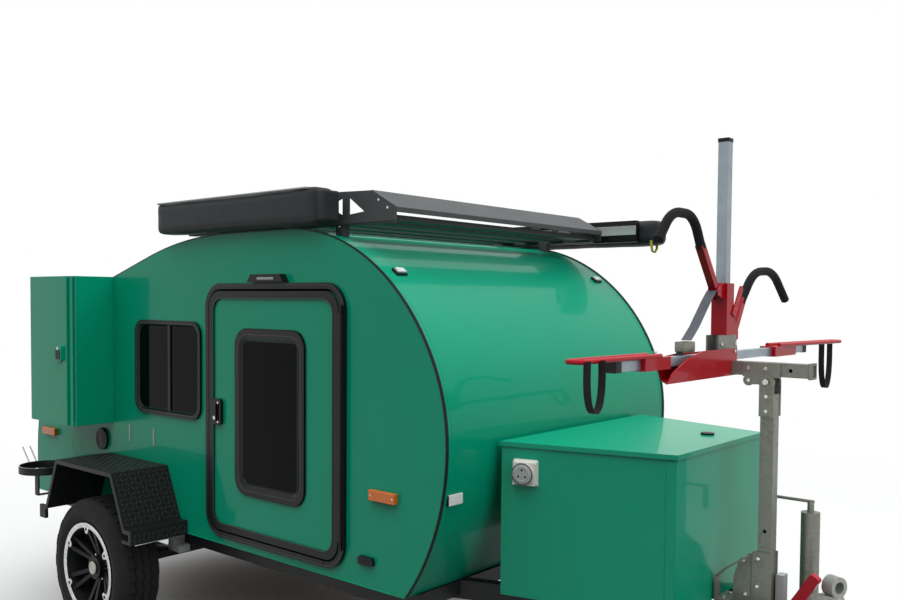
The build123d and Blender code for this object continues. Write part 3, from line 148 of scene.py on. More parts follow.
# %% Emerald enamel
def sprayed_enamel(name, colour, deep, waviness=0.10):
    material, shader = new_material(name, Roughness=0.35, IOR=1.4, Specular_IOR_Level=0.12, Coat_Weight=0.3,
                                    Coat_Roughness=0.04, Coat_IOR=1.42)
    here = (add_node(material, "TexCoord"), "Object")
    cloud = add_node(material, "TexNoise", Vector=here, Scale=millimetres(700), Detail=3)
    tint = add_node(material, "Mix", {"data_type": "RGBA"}, Factor=(cloud, "Fac"),
                    _6=hex_colour(colour), _7=hex_colour(deep))
    feed(material, tint, 2, shader, "Base Color")
    sheet = add_node(material, "TexNoise", Vector=here, Scale=millimetres(240), Detail=1)
    peel = add_node(material, "TexNoise", Vector=here, Scale=millimetres(5), Detail=2)
    wave = add_node(material, "Bump", Strength=waviness, Distance=0.01, Height=(sheet, "Fac"))
    skin = add_node(material, "Bump", Strength=0.04, Distance=0.001, Height=(peel, "Fac"),
                    Normal=(wave, "Normal"))
    feed(material, skin, "Normal", shader, "Normal")
    feed(material, skin, "Normal", shader, "Coat Normal")
    return material


emerald = sprayed_enamel("emerald_enamel", "#009C79", "#009471")
red_enamel = sprayed_enamel("red_powder_enamel", "#B40C20", "#A00A1C", 0.02)
print("paints", emerald.name, red_enamel.name)


# %% [markdown]
# ## Powder coat, anodised frames and bare metal
# Powder coat is baked dust: even, slightly pebbled and half matt. Galvanised steel is dipped in zinc,
# which freezes into pale and dark crystals. Extruded aluminium is smooth with a faint grain.

# %% Metals and coatings
def powder_coat(name, colour, rough, grain_mm=1.6, strength=0.25):
    material, shader = new_material(name, Base_Color=hex_colour(colour), Roughness=rough, IOR=1.42,
                                    Specular_IOR_Level=0.3)
    here = (add_node(material, "TexCoord"), "Object")
    pebble = add_node(material, "TexNoise", Vector=here, Scale=millimetres(grain_mm), Detail=2)
    dust = add_node(material, "TexNoise", Vector=here, Scale=millimetres(180), Detail=4)
    matt = add_node(material, "MapRange", Value=(dust, "Fac"), _3=rough - 0.06, _4=rough + 0.10)
    feed(material, matt, "Result", shader, "Roughness")
    bump = add_node(material, "Bump", Strength=strength, Distance=0.0006, Height=(pebble, "Fac"))
    feed(material, bump, "Normal", shader, "Normal")
    return material


def zinc(name, light, dark, spangle_mm, metallic, rough):
    material, shader = new_material(name, Metallic=metallic)
    here = (add_node(material, "TexCoord"), "Object")
    cells = add_node(material, "TexVoronoi", Vector=here, Scale=millimetres(spangle_mm))
    grey = add_node(material, "SeparateColor", Color=(cells, "Color"))
    cloud = add_node(material, "TexNoise", Vector=here, Scale=millimetres(60), Detail=4)
    blend = add_node(material, "Math", {"operation": "MULTIPLY"}, _0=(grey, "Red"), _1=(cloud, "Fac"))
    tint = add_node(material, "Mix", {"data_type": "RGBA"}, Factor=(blend, "Value"),
                    _6=hex_colour(light), _7=hex_colour(dark))
    feed(material, tint, 2, shader, "Base Color")
    matt = add_node(material, "MapRange", Value=(blend, "Value"), _3=rough - 0.08, _4=rough + 0.16)
    feed(material, matt, "Result", shader, "Roughness")
    return material


black_coat = powder_coat("black_powder_coat", "#1A1B1C", 0.45)
rack_coat = powder_coat("grey_black_rack_coat", "#464A4B", 0.48)
frame_black = powder_coat("black_extruded_frame", "#0C0D0D", 0.32, 2.5, 0.08)
chassis_black = powder_coat("chassis_enamel", "#17181A", 0.38, 4, 0.2)
moulded_black = powder_coat("moulded_black_abs", "#121314", 0.45, 0.9, 0.2)
foam_black = powder_coat("closed_cell_foam", "#17181A", 0.82, 1.1, 0.6)
galvanised = zinc("hot_dip_zinc", "#84867D", "#74766D", 9, 0.6, 0.5)
cast_zinc = zinc("cast_and_dipped_iron", "#A6A7A2", "#8C8E88", 5, 0.6, 0.55)
bright_zinc = zinc("bright_zinc_plate", "#D2D4D2", "#A9ABA9", 14, 0.95, 0.28)
plain_aluminium = zinc("mill_aluminium", "#96A2AA", "#8A969E", 40, 0.6, 0.4)
grey_paint = powder_coat("light_grey_step_paint", "#C2C4C6", 0.5)
# Grey for the inlet's dark ring, and for the painted highlight lines on the black door and window frames
grey_ring_and_painted_highlight = powder_coat("grey_ring_and_painted_highlight_line", "#505252", 0.35, 3, 0.05)
# Lighter than the black guard: a painted glint on the lozenges' polished tips
polished_tread_glint = powder_coat("lozenge_tips_painted_glint", "#2F3232", 0.28, 2, 0.1)
print("metals", galvanised.name, cast_zinc.name, bright_zinc.name, plain_aluminium.name)

# %% [markdown]
# ## Rubber, plastic, glass and wood
# The tyre is carbon black rubber, greyed by dust. The windows are smoked acrylic: dark from outside,
# with the cabin just showing through. The lamps are acrylic over a ribbed reflector, and the cabin's
# inside is birch plywood.

# %% Soft and clear finishes
# Divides a wave texture's scale: its bands come out nearly twice the asked width, so that they show
wide_bands = 6
rubber = powder_coat("road_rubber", "#242423", 0.80, 1.2, 0.5)
seal_rubber = powder_coat("edge_seal_rubber", "#0B0C0C", 0.5, 1.5, 0.1)
white_abs = powder_coat("white_moulded_abs", "#DEDCD4", 0.35, 2.0, 0.05)
pale_abs = powder_coat("grey_moulded_abs", "#A9ACAC", 0.40, 2.0, 0.05)
smoked, smoked_shader = new_material("smoked_acrylic", Base_Color=hex_colour("#05080A"), Roughness=0.03,
                                     IOR=1.15, Specular_IOR_Level=0.3, Transmission_Weight=0.6)
plywood, plywood_shader = new_material("birch_plywood", Roughness=0.5)
ply_place = add_node(plywood, "TexCoord")
ply_wave = add_node(plywood, "TexWave", {"wave_type": "RINGS"}, Vector=(ply_place, "Object"),
                    Scale=2.0, Distortion=7.0, Detail=3)
ply_tint = add_node(plywood, "Mix", {"data_type": "RGBA"}, Factor=(ply_wave, "Fac"),
                    _6=hex_colour("#C9A678"), _7=hex_colour("#B08A5C"))
feed(plywood, ply_tint, 2, plywood_shader, "Base Color")


def acrylic(name, colour, clear):
    material, shader = new_material(name, Base_Color=hex_colour(colour), Roughness=0.12, IOR=1.49,
                                    Transmission_Weight=clear)
    here = (add_node(material, "TexCoord"), "Object")
    ribs = add_node(material, "TexWave", Vector=here, Scale=millimetres(9) / wide_bands)
    bump = add_node(material, "Bump", Strength=0.35, Distance=0.002, Height=(ribs, "Fac"))
    feed(material, bump, "Normal", shader, "Normal")
    return material


amber_lens = acrylic("amber_acrylic", "#F07A06", 0.15)
clear_lens = acrylic("clear_acrylic", "#E9ECEC", 0.1)
red_lens = acrylic("red_acrylic", "#A80F12", 0.15)
print("lenses", amber_lens.name, clear_lens.name, red_lens.name)


# %% [markdown]
# ## Woven cloth
# Awning bags are polyester cloth with a PVC skin: two sets of threads cross at right angles, and a
# broader noise gives the cloth its soft creases. The threads are drawn some twenty times coarser
# than real ones, since real ones would vanish at this distance. Straps are woven in the same way.

# %% Coated cloth and webbing
def woven(name, colour, worn, thread_mm, rough, crease=0.5):
    material, shader = new_material(name, Roughness=rough, IOR=1.42, Specular_IOR_Level=0.3)
    here = (add_node(material, "TexCoord"), "Object")
    thread = millimetres(thread_mm) / wide_bands
    warp = add_node(material, "TexWave", {"bands_direction": "X"}, Vector=here, Scale=thread)
    weft = add_node(material, "TexWave", {"bands_direction": "Z"}, Vector=here, Scale=thread)
    weave = add_node(material, "Math", {"operation": "MULTIPLY"}, _0=(warp, "Fac"), _1=(weft, "Fac"))
    fold = add_node(material, "TexNoise", Vector=here, Scale=millimetres(90), Detail=4)
    tint = add_node(material, "Mix", {"data_type": "RGBA"}, Factor=(fold, "Fac"),
                    _6=hex_colour(colour), _7=hex_colour(worn))
    feed(material, tint, 2, shader, "Base Color")
    soft = add_node(material, "Bump", Strength=crease, Distance=0.006, Height=(fold, "Fac"))
    fine = add_node(material, "Bump", Strength=0.35, Distance=0.0008, Height=(weave, "Value"),
                    Normal=(soft, "Normal"))
    feed(material, fine, "Normal", shader, "Normal")
    return material


coated_cloth = woven("pvc_coated_cloth", "#232527", "#2C2E30", 5, 0.52)
# Pale cloth for the strip along the right bag's top edge, a painted highlight on its piping
piping_highlight_cloth = woven("pale_piping_painted_highlight", "#B4B8B7", "#9DA1A1", 5, 0.7)
grey_web = woven("grey_webbing", "#5E6068", "#50525A", 3, 0.8, 0.2)
black_web = woven("black_webbing", "#1B1B1C", "#262627", 3, 0.8, 0.2)
yellow_web = woven("yellow_webbing", "#B8A73C", "#9E8E2E", 3, 0.8, 0.2)
print("cloth", coated_cloth.name, piping_highlight_cloth.name)


# %% [markdown]
# ## Working by hand
# These helpers do what a modeller does with the mouse: pick one object, enter edit mode, apply its
# place so that the mesh stands where it is seen, then hand the piece to the body that carries it.
# Places are given in millimetres from the cabin's nose, as on a workshop drawing.

# %% Modelling helpers
nose_x = 0.990
sides = (("right", -1), ("left", 1))


def at(x, y, z):
    return Vector((x / 1000 + nose_x, y / 1000, z / 1000))


def clear_selection():
    bpy.ops.object.select_all(action="DESELECT")


def activate(obj):
    clear_selection()
    obj.select_set(True)
    bpy.context.view_layer.objects.active = obj


def apply_all(obj):
    activate(obj)
    for modifier in list(obj.modifiers):
        bpy.ops.object.modifier_apply(modifier=modifier.name)


def open_edit(obj):
    activate(obj)
    bpy.ops.object.mode_set(mode="EDIT")
    bpy.ops.mesh.select_all(action="SELECT")


def close_edit():
    bpy.ops.object.mode_set(mode="OBJECT")


def settle(obj):
    activate(obj)
    bpy.ops.object.transform_apply(location=True, rotation=True, scale=True)


def cube(size, middle=(0, 0, 0)):
    bpy.ops.mesh.primitive_cube_add(size=1, location=middle, scale=size)
    piece = bpy.context.object
    settle(piece)
    return piece


def round_edges(obj, width, segments, sharp=30):
    """Rounds the edges that turn by more than sharp degrees. width is in metres."""
    bevel = obj.modifiers.new("round", "BEVEL")
    bevel.width = width
    bevel.segments = segments
    bevel.limit_method = "ANGLE"
    bevel.angle_limit = math.radians(sharp)
    apply_all(obj)


def face_outwards(obj):
    open_edit(obj)
    bpy.ops.mesh.normals_make_consistent(inside=False)
    close_edit()


def hand_over(obj, name, material, body, smooth=36):
    """Names, finishes and places a piece on the body that carries it."""
    obj.name = name
    settle(obj)
    bpy.ops.object.shade_smooth_by_angle(angle=math.radians(smooth))
    obj.data.materials.clear()
    obj.data.materials.append(material)
    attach(obj, body)
    return obj


def body_of(node):
    return frame["nodes"][node]["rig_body"]


def within(value, ends):
    return ends[0] < value < ends[1]


# %% [markdown]
# ## Dressing a solid
# A solid from the model has knife-sharp edges, which no real sheet or casting has. The piece is
# copied, its loose triangles are merged into whole faces, and a small bevel rounds the sharp edges
# so that they catch a thin line of light.

# %% Copy and round a solid
def dress(node, material, round_mm):
    source = frame["nodes"][node]
    piece = bpy.data.objects.new("dressed_" + node, source.data.copy())
    bpy.context.scene.collection.objects.link(piece)
    open_edit(piece)
    bpy.ops.mesh.remove_doubles(threshold=0.00002)
    bpy.ops.mesh.dissolve_limited(angle_limit=math.radians(0.6))
    close_edit()
    if round_mm:
        round_edges(piece, round_mm / 1000, 2, 38)
    activate(piece)
    bpy.ops.object.shade_smooth_by_angle(angle=math.radians(36))
    flat = piece.modifiers.new("flat_panels", "WEIGHTED_NORMAL")
    flat.keep_sharp = True
    apply_all(piece)
    piece.data.materials.clear()
    piece.data.materials.append(material)
    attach(piece, body_of(node))
    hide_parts(node)
    return piece


# Columns: finish, rounding in millimetres, solids
finishes = (
    (emerald, 2.0, ("side_walls", "outer_skins", "rear_hatch", "door_leaf_right", "door_leaf_left",
                    "flank_boxes", "flank_box_door_right", "flank_box_door_left", "toolbox_body",
                    "toolbox_lid")),
    (frame_black, 2.5, ("door_and_window_frames", "door_trim_right", "door_trim_left")),
    (black_coat, 1.0, ("mudguards", "gas_bottle_ring", "wheel_rim_right", "wheel_rim_left")),
    (rack_coat, 1.0, ("roof_rack", "wind_deflector")),
    (chassis_black, 2.0, ("chassis_frame", "axle_and_springs")),
    (galvanised, 1.2, ("rack_post", "carrier_hitch_tube", "jack_tube", "jack_leg", "jockey_fork")),
    (cast_zinc, 3.0, ("coupling_head",)),
    (red_enamel, 1.2, ("carrier_frame", "hook_near", "hook_far", "brake_lever")),
    (plain_aluminium, 1.0, ("carrier_bars",)),
    (rubber, 2.0, ("jockey_wheel",)),
    (seal_rubber, 0, ("edge_trims",)),
    (white_abs, 2.0, ("power_inlet",)),
    (moulded_black, 2.0, ("wall_fittings",)),
    (plywood, 1.0, ("cabin_interior",)),
    (amber_lens, 2.0, ("lamps",)),
    (smoked, 0, ("side_window_glass", "door_glass_right", "door_glass_left")),
)
dressed = {}
for finish, rounding, nodes in finishes:
    for node in nodes:
        dressed[node] = dress(node, finish, rounding)
print("dressed", len(dressed), "solids")

# %% [markdown]
# ## Pieces of more than one finish
# The hook arms are red tube as far as the bend and foam from there on, the lamps are clear, amber
# and red, the toolbox lid has a black cap, the step brackets are grey, each wall has pale strips,
# the gas bottle ring has two plated rods and the post a pale plug. The faces are told apart by
# their place in metres and get a second finish.

# %% Faces by place
def repaint(node, material, wanted):
    """Gives the faces that wanted() picks another finish."""
    mesh = dressed[node].data
    mesh.materials.append(material)
    slot = len(mesh.materials) - 1
    for face in mesh.polygons:
        if wanted(face.center):
            face.material_index = slot


near_foam_y = -0.193
far_foam_y = 0.165
repaint("hook_near", foam_black, lambda c: c.y < near_foam_y)
repaint("hook_far", foam_black, lambda c: c.y > far_foam_y)

tail_x = at(-3139, 0, 0).x
front_lamp_y = 0.80
lamp_side_x = (0.95, 0.9775)
repaint("lamps", red_lens, lambda c: c.x < tail_x)
repaint("lamps", clear_lens, lambda c: abs(c.y) < front_lamp_y and c.x > tail_x + 0.5)
repaint("lamps", moulded_black, lambda c: abs(c.y) < front_lamp_y and within(c.x, lamp_side_x))

lid_cap = at(540, 157, 1124)
lid_cap_r = 0.03
lid_top_z = 1.1203
repaint("toolbox_lid", moulded_black, lambda c: c.z > lid_top_z and (c.xy - lid_cap.xy).length < lid_cap_r)

step_x = (at(-1791, 0, 0).x, at(-1693, 0, 0).x)
step_y = 0.766
repaint("chassis_frame", grey_paint, lambda c: within(c.x, step_x) and abs(c.y) > step_y)

strip_x = (at(-2140, 0, 0).x, at(-1890, 0, 0).x)
strip_y = 0.8352
strip_z = (0.918, 1.008)
repaint("wall_fittings", pale_abs, lambda c: within(c.x, strip_x) and abs(c.y) < strip_y
        and within(c.z, strip_z))

rod_z = 0.7415
repaint("gas_bottle_ring", bright_zinc, lambda c: c.z > rod_z)

plug_x = at(881.5, 0, 0).x
plug_y = (0.0075, 0.0525)
plug_z = (0.542, 0.66)
repaint("rack_post", pale_abs, lambda c: c.x > plug_x and within(c.y, plug_y) and within(c.z, plug_z))
print("second finishes on", sum(len(piece.data.materials) > 1 for piece in dressed.values()), "pieces")


# %% [markdown]
# ## The tyres
# An all-terrain tyre: round shoulders, a ribbed sidewall and a tread cut by three zigzag grooves with
# short cross cuts. Its section is drawn as a loop of points and spun about the axle. Every other
# pair of stations of the tread is then pushed aside to make the zigzag, the cross cuts are pushed in
# and the scallops of the shoulder are pushed out.

# %% Spinning and picking
tyre_r = 338
tyre_mid_y = 1013.5
axle_x = -2040
tyre_steps = 144
# Half of the section, from the bead to the middle of the tread. Columns: radius, distance from the middle
tyre_section = (
    (207, 80), (227, 81), (230, 95), (236, 97), (248, 104), (262, 106), (266, 107), (272, 107), (276, 106.5),
    (292, 105), (302, 101), (306, 102), (316, 97), (326, 88), (333, 78), (337, 68), (338, 44), (330, 41.5),
    (330, 38), (338, 35.5), (338, 4.5), (330, 2),
)


def spin_loop(section, centre, steps, name):
    """Spins a closed loop of (radius, along the axle) points about a line along Y."""
    bpy.ops.mesh.primitive_circle_add(vertices=len(section), radius=0.1, location=(0, 0, 0))
    ring = bpy.context.object
    ring.name = name
    for vertex, (radius, along) in zip(ring.data.vertices, section):
        vertex.co = centre + Vector((0, along / 1000, radius / 1000))
    open_edit(ring)
    bpy.ops.mesh.spin(steps=steps, angle=math.tau, center=centre, axis=(0, 1, 0))
    bpy.ops.mesh.select_all(action="SELECT")
    bpy.ops.mesh.remove_doubles(threshold=0.00002)
    close_edit()
    face_outwards(ring)
    return ring


def pick(obj, kind, wanted):
    """Leaves only the faces or vertices that wanted() picks selected, in edit mode. kind is FACE or VERT."""
    open_edit(obj)
    bpy.ops.mesh.select_mode(type=kind)
    bpy.ops.mesh.select_all(action="DESELECT")
    close_edit()
    for part in obj.data.polygons if kind == "FACE" else obj.data.vertices:
        part.select = wanted(part)
    bpy.ops.object.mode_set(mode="EDIT")


def on_tyre(place):
    """Radius, distance from the tyre's middle and step number of a place on either tyre."""
    axle = at(axle_x, 0, tyre_r)
    dx = place.x - axle.x
    dz = place.z - axle.z
    step = round(math.atan2(dz, dx) / math.tau * tyre_steps)
    return math.hypot(dx, dz), abs(abs(place.y) - tyre_mid_y / 1000), step


print("tyre", 2 * tyre_r, "mm across")


# %% Tread and shoulder
# In metres, from the axle or from the tyre's middle
zigzag_from_r = 0.325
zigzag_half = 0.060
zigzag_shift = 0.008
cut_from_r = 0.3355
cut_band = (0.042, 0.070)
cut_depth = 0.004
scallop_r = (0.304, 0.318)
scallop_height = 0.0015


def odd_tread(vertex):
    radius, off, step = on_tyre(vertex.co)
    return radius > zigzag_from_r and off < zigzag_half and step % 4 < 2


def cross_cut(face):
    radius, off, step = on_tyre(face.center)
    return radius > cut_from_r and within(off, cut_band) and step % 4 == 0


def shoulder_scallop(face):
    radius, off, step = on_tyre(face.center)
    return within(radius, scallop_r) and step % 8 < 4


full_section = list(tyre_section) + [(radius, -along) for radius, along in reversed(tyre_section)]
for side, sign in sides:
    tyre = spin_loop(full_section, at(axle_x, sign * tyre_mid_y, tyre_r), tyre_steps, "tyre")
    pick(tyre, "VERT", odd_tread)
    bpy.ops.transform.translate(value=(0, zigzag_shift, 0))
    close_edit()
    for wanted, height in ((cross_cut, -cut_depth), (shoulder_scallop, scallop_height)):
        pick(tyre, "FACE", wanted)
        bpy.ops.mesh.extrude_region_shrink_fatten(TRANSFORM_OT_shrink_fatten={"value": height})
        close_edit()
    hand_over(tyre, "tyre_with_tread_" + side, rubber, body_of("tyre_" + side), smooth=30)
    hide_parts("tyre_" + side)
    print("tyre", side, len(tyre.data.polygons), "faces")


# %% [markdown]
# ## Turned and repeated small parts
# Bolts, screws, rivets and caps are all round. Each is drawn once as a profile of radii and heights:
# a disc is extruded up and resized step by step, as if turned on a lathe. Then it is copied to all
# its places and the copies are joined into one piece.

# %% Lathe and copies
def turned(profile, steps=16):
    """Turns a profile of (radius, height) pairs in millimetres about the Z axis."""
    radius, height = profile[0]
    bpy.ops.mesh.primitive_circle_add(vertices=steps, radius=radius / 1000, fill_type="NGON",
                                      location=(0, 0, height / 1000))
    piece = bpy.context.object
    open_edit(piece)
    for next_radius, next_height in profile[1:]:
        rise = (next_height - height) / 1000
        bpy.ops.mesh.extrude_region_move(TRANSFORM_OT_translate={"value": (0, 0, rise)})
        grow = next_radius / radius
        bpy.ops.transform.resize(value=(grow, grow, 1), center_override=(0, 0, next_height / 1000))
        radius, height = next_radius, next_height
    close_edit()
    face_outwards(piece)
    settle(piece)
    return piece


def joined_copies(master, places, name):
    """Copies a part to every place, given as a matrix, and joins the copies."""
    made = []
    for place in places:
        twin = bpy.data.objects.new(name, master.data.copy())
        bpy.context.scene.collection.objects.link(twin)
        twin.matrix_world = place
        made.append(twin)
    bpy.data.objects.remove(master)
    clear_selection()
    for twin in made:
        twin.select_set(True)
    bpy.context.view_layer.objects.active = made[0]
    if len(made) > 1:
        bpy.ops.object.join()
    return made[0]


def spread(master, spots, name, material, body):
    """Joined copies of a small part at (place, facing) spots."""
    places = []
    for place, facing in spots:
        aim = Vector(facing).to_track_quat("Z", "Y").to_matrix().to_4x4()
        places.append(Matrix.Translation(place) @ aim)
    return hand_over(joined_copies(master, places, name), name, material, body)


def fasten(profile, spots, name, body="trailer", steps=16):
    """Bright zinc plated fasteners of one profile."""
    return spread(turned(profile, steps), spots, name, bright_zinc, body)


def outward(sign, *places):
    """Spots that face out from one side. The Y of each place is its distance from the middle."""
    return [(at(x, sign * y, z), (0, sign, 0)) for x, y, z in places]


def both_sides(*places):
    return outward(-1, *places) + outward(1, *places)


hex_head = ((7.5, 0), (7.5, 4.4), (6.2, 5.4))
dome_head = ((5.5, 0), (5.5, 1), (4.2, 2.6), (2.0, 3.4))
rivet_head = ((3.4, 0), (3.4, 0.6), (2.2, 1.8))
forward = (1, 0, 0)
upward = (0, 0, 1)
print("hex heads", 2 * hex_head[0][0], "mm across their corners")


# %% [markdown]
# ## Wheels: lip, bolts and cap
# The black alloy wheels have a bright machined lip with a tab at each pair of spokes, a bolt in each
# tab, whose black head is painted shade for its dark bolt hole, six nuts and a pale plastic cap. The
# lip is a small closed section spun about the axle, and the tabs are copies of one bevelled block.

# %% Wheel trim
tab_size = (0.038, 0.007, 0.050)
tab_narrowing = 0.40
pairs_of_spokes = 6
tab_r = 0.193
bolt_r = 0.196
bolt_rise = 0.0035
nut_r = 62


def wheel_tab():
    """A tab of the lip: a block whose inner end narrows. Its X axis points away from the hub."""
    piece = cube(tab_size)
    pick(piece, "FACE", lambda face: face.normal.x < -0.9)
    bpy.ops.transform.resize(value=(1, 1, tab_narrowing))
    close_edit()
    round_edges(piece, 0.003, 2)
    return piece


lip_section = ((200, 1), (203, -1.5), (219, -3.4), (224, -3.4), (226, -1), (226, 3), (200, 3))
cap_profile = ((31, -3), (31, 1.6), (29, 2.6), (24, 2.8), (23.4, 2.0), (12, 2.2))
for side, sign in sides:
    body = body_of("wheel_rim_" + side)
    centre = at(axle_x, sign * 1113, tyre_r)
    loop = [(radius, -sign * along) for radius, along in lip_section]
    lip = spin_loop(loop, centre, 96, "lip")
    hand_over(lip, "machined_lip_" + side, bright_zinc, body)
    tabs = []
    bolts = []
    nuts = []
    for k in range(pairs_of_spokes):
        spin = math.tau / pairs_of_spokes * k
        angle = math.tau / pairs_of_spokes * (k + 0.5)
        ray = Vector((math.cos(angle), 0, math.sin(angle)))
        tabs.append(Matrix.Translation(centre + ray * tab_r) @ Matrix.Rotation(-angle, 4, "Y"))
        bolts.append((centre + ray * bolt_r + Vector((0, sign * bolt_rise, 0)), (0, sign, 0)))
        nuts += outward(sign, (axle_x + nut_r * math.cos(spin), 1037, tyre_r + nut_r * math.sin(spin)))
    lip_tabs = joined_copies(wheel_tab(), tabs, "tab")
    hand_over(lip_tabs, "lip_tabs_" + side, bright_zinc, body)
    # The tab bolts are black as painted shade of their dark bolt holes
    spread(turned(((8, -6), (8, 0.6), (6, 1.6))), bolts, "spoke_bolts_painted_shade_" + side, moulded_black, body)
    fasten(((6.5, 0), (6.5, 12), (5, 15)), nuts, "wheel_nuts_" + side, body, 6)
    spread(turned(cap_profile, 32), outward(sign, (axle_x, 1085.2, tyre_r)), "hub_cap_" + side, white_abs,
           body)
print("bolts and nuts on each wheel", len(bolts), len(nuts))


# %% [markdown]
# ## Tread plate on the mudguards
# The top, the sloping front and the lip below it are rolled tread plate: rows of small lozenges,
# every other one turned the other way. One lozenge is a cube with its top drawn in, and a few
# hundred low copies make each plate. The lozenges are coloured lighter than the guard, as a painted
# glint on their polished tips.

# %% Lozenges
lozenge_size = (0.021, 0.0058, 0.0018)
lozenge_pitch = 0.0235
lozenge_columns = 12
top_rows = 22
slope_rows = 11
lip_rows = 2


def lozenge():
    piece = cube(lozenge_size, (0, 0, 0.0006))
    pick(piece, "FACE", lambda face: face.normal.z > 0.9)
    bpy.ops.transform.resize(value=(0.6, 0.4, 1))
    close_edit()
    return piece


def tread_plate(name, corner, across, up, rows):
    """Rows of lozenges from a corner, along two directions of the plate."""
    plate_turn = Matrix((across, up, across.cross(up).normalized())).transposed().to_4x4()
    places = []
    for row in range(rows):
        for column in range(lozenge_columns):
            place = corner + (across * (column + 0.5) + up * (row + 0.5)) * lozenge_pitch
            lean = math.radians(45 if (row + column) % 2 else -45)
            places.append(Matrix.Translation(place) @ plate_turn @ Matrix.Rotation(lean, 4, "Z"))
    plate = joined_copies(lozenge(), places, name)
    return hand_over(plate, name, polished_tread_glint, body_of("mudguards"), smooth=20)


guard_knee = (-1672, 597)
guard_front = (-1784, 840)
knee_gap = 0.006
across = Vector((0, 1, 0))
slope = (at(guard_front[0], 0, guard_front[1]) - at(guard_knee[0], 0, guard_knee[1])).normalized()
for side, low_y in (("right", -1118), ("left", 838)):
    foot = at(guard_knee[0], low_y, guard_knee[1]) + slope * knee_gap
    tread_plate("tread_lozenges_" + side, foot, across, slope, slope_rows)
    tread_plate("lip_lozenges_" + side, at(-1615, low_y, 536), across, Vector(upward), lip_rows)
    tread_plate("top_lozenges_" + side, at(-1790, low_y, 840), across, -Vector(forward), top_rows)
print("lozenges on each guard", lozenge_columns * (top_rows + slope_rows + lip_rows))

# %% [markdown]
# ## Seals and painted highlight rings on the doors and windows
# Each frame of the doors and windows has a thin grey ring along its raised edge: a painted highlight
# for the line of light that the edge catches. Rubber seals run round the panes. A plane is sized, its
# corners are bevelled round, a narrow band is inset and the middle is deleted. The band is then
# extruded to its thickness.

# %% Rounded rings
def rounded_ring(name, centre, size, sign, material, body):
    """A ring round a centre. size is (width, height, corner radius, band, thickness) in millimetres."""
    width, height, radius, band, thickness = (mm / 1000 for mm in size)
    bpy.ops.mesh.primitive_plane_add(size=1, location=centre, rotation=(math.pi / 2, 0, 0))
    ring = bpy.context.object
    ring.scale = (width, height, 1)
    settle(ring)
    open_edit(ring)
    bpy.ops.mesh.bevel(offset=radius, segments=8, affect="VERTICES")
    bpy.ops.mesh.select_all(action="SELECT")
    bpy.ops.mesh.inset(thickness=band)
    bpy.ops.mesh.delete(type="FACE")
    bpy.ops.mesh.select_all(action="SELECT")
    bpy.ops.mesh.extrude_region_move(TRANSFORM_OT_translate={"value": (0, sign * thickness, 0)})
    close_edit()
    face_outwards(ring)
    return hand_over(ring, name, material, body)


door_x = -980.5
door_z = 1144.5
pane_x = door_x - 3
pane_z = door_z + 10
# Columns: name, centre, size, finish, slot
# Grey rings are painted highlight lines along raised edges, black ones are rubber seals
door_rings = (
    ("door_painted_highlight_line_", (door_x, 848.6, door_z), (803, 1023, 62, 2.5, 1.6), grey_ring_and_painted_highlight, "black_frame"),
    ("door_pane_seal_", (pane_x, 842, pane_z), (473, 737, 76, 3.5, 3.5), seal_rubber, "black_rubber"),
    ("door_pane_gasket_", (pane_x, 842.1, pane_z), (377, 641, 30, 8, 1.5), seal_rubber, "black_rubber"),
    ("door_pane_painted_highlight_line_", (pane_x, 851.6, pane_z), (423, 687, 64, 2.2, 1.0), grey_ring_and_painted_highlight, "black_frame"),
)
# Both wall rings are painted highlight lines, round the door opening and round the window
wall_rings = (
    ("door_frame_painted_highlight_line_", (door_x, 845.6, door_z), (917, 1137, 106, 2.0, 1.0), grey_ring_and_painted_highlight, "black_frame"),
    ("window_painted_highlight_line_", (-1776.5, 842.6, 1313), (535, 434, 58, 2.0, 1.0), grey_ring_and_painted_highlight, "black_frame"),
)
hinge_rings = 15
for side, sign in sides:
    door_body = body_of("door_leaf_" + side)
    for carrier, rings in ((door_body, door_rings), ("trailer", wall_rings)):
        for name, (x, y, z), size, finish, slot in rings:
            rounded_ring(name + side, at(x, sign * y, z), size, sign, finish, carrier)
    screws = outward(sign, (-1335, 857.6, 1182), (-1335, 857.6, 1095))
    fasten(dome_head, screws, "handle_screws_" + side, door_body)
    fasten(((9, 0), (9, 2.4), (6, 3.2), (5.5, 2.4)), outward(sign, (-1362, 857.4, 1112)),
           "handle_lock_" + side, door_body)
    ticks = [(at(-527, sign * 855, 700 + 62 * k), upward) for k in range(hinge_rings)]
    spread(turned(((7.6, 0), (8.2, 1.5), (8.2, 4), (7.6, 5.5))), ticks, "hinge_rings_" + side, moulded_black,
           door_body)
    drains = outward(sign, (-1330, 846.4, 583), (-640, 846.4, 583))
    spread(turned(((7, -0.5), (7, 1), (4, 1.4))), drains, "door_drain_caps_" + side, moulded_black, "trailer")
print("rings on each side", len(door_rings) + len(wall_rings))


# %% [markdown]
# ## Moulded blocks and plates
# Many small parts are plates or blocks with rounded edges. Each starts as a cube at its size, and a
# bevel rounds its edges. An optional face is first inset and pushed in, which makes the sunken panel
# of a latch or an end cap.

# %% Blocks
def moulded_block(name, low, high, round_mm, material, body, sunk=None):
    """A rounded block between two corners. sunk is (normal, inset mm, depth mm)."""
    a = at(*low)
    b = at(*high)
    block = cube([abs(v) for v in (b - a)], (a + b) / 2)
    if sunk:
        normal, inset_mm, depth_mm = sunk
        facing = Vector(normal)
        pick(block, "FACE", lambda face: face.normal.dot(facing) > 0.9)
        bpy.ops.mesh.inset(thickness=inset_mm / 1000)
        bpy.ops.transform.translate(value=-facing * depth_mm / 1000)
        close_edit()
    round_edges(block, round_mm / 1000, 3)
    return hand_over(block, name, material, body)


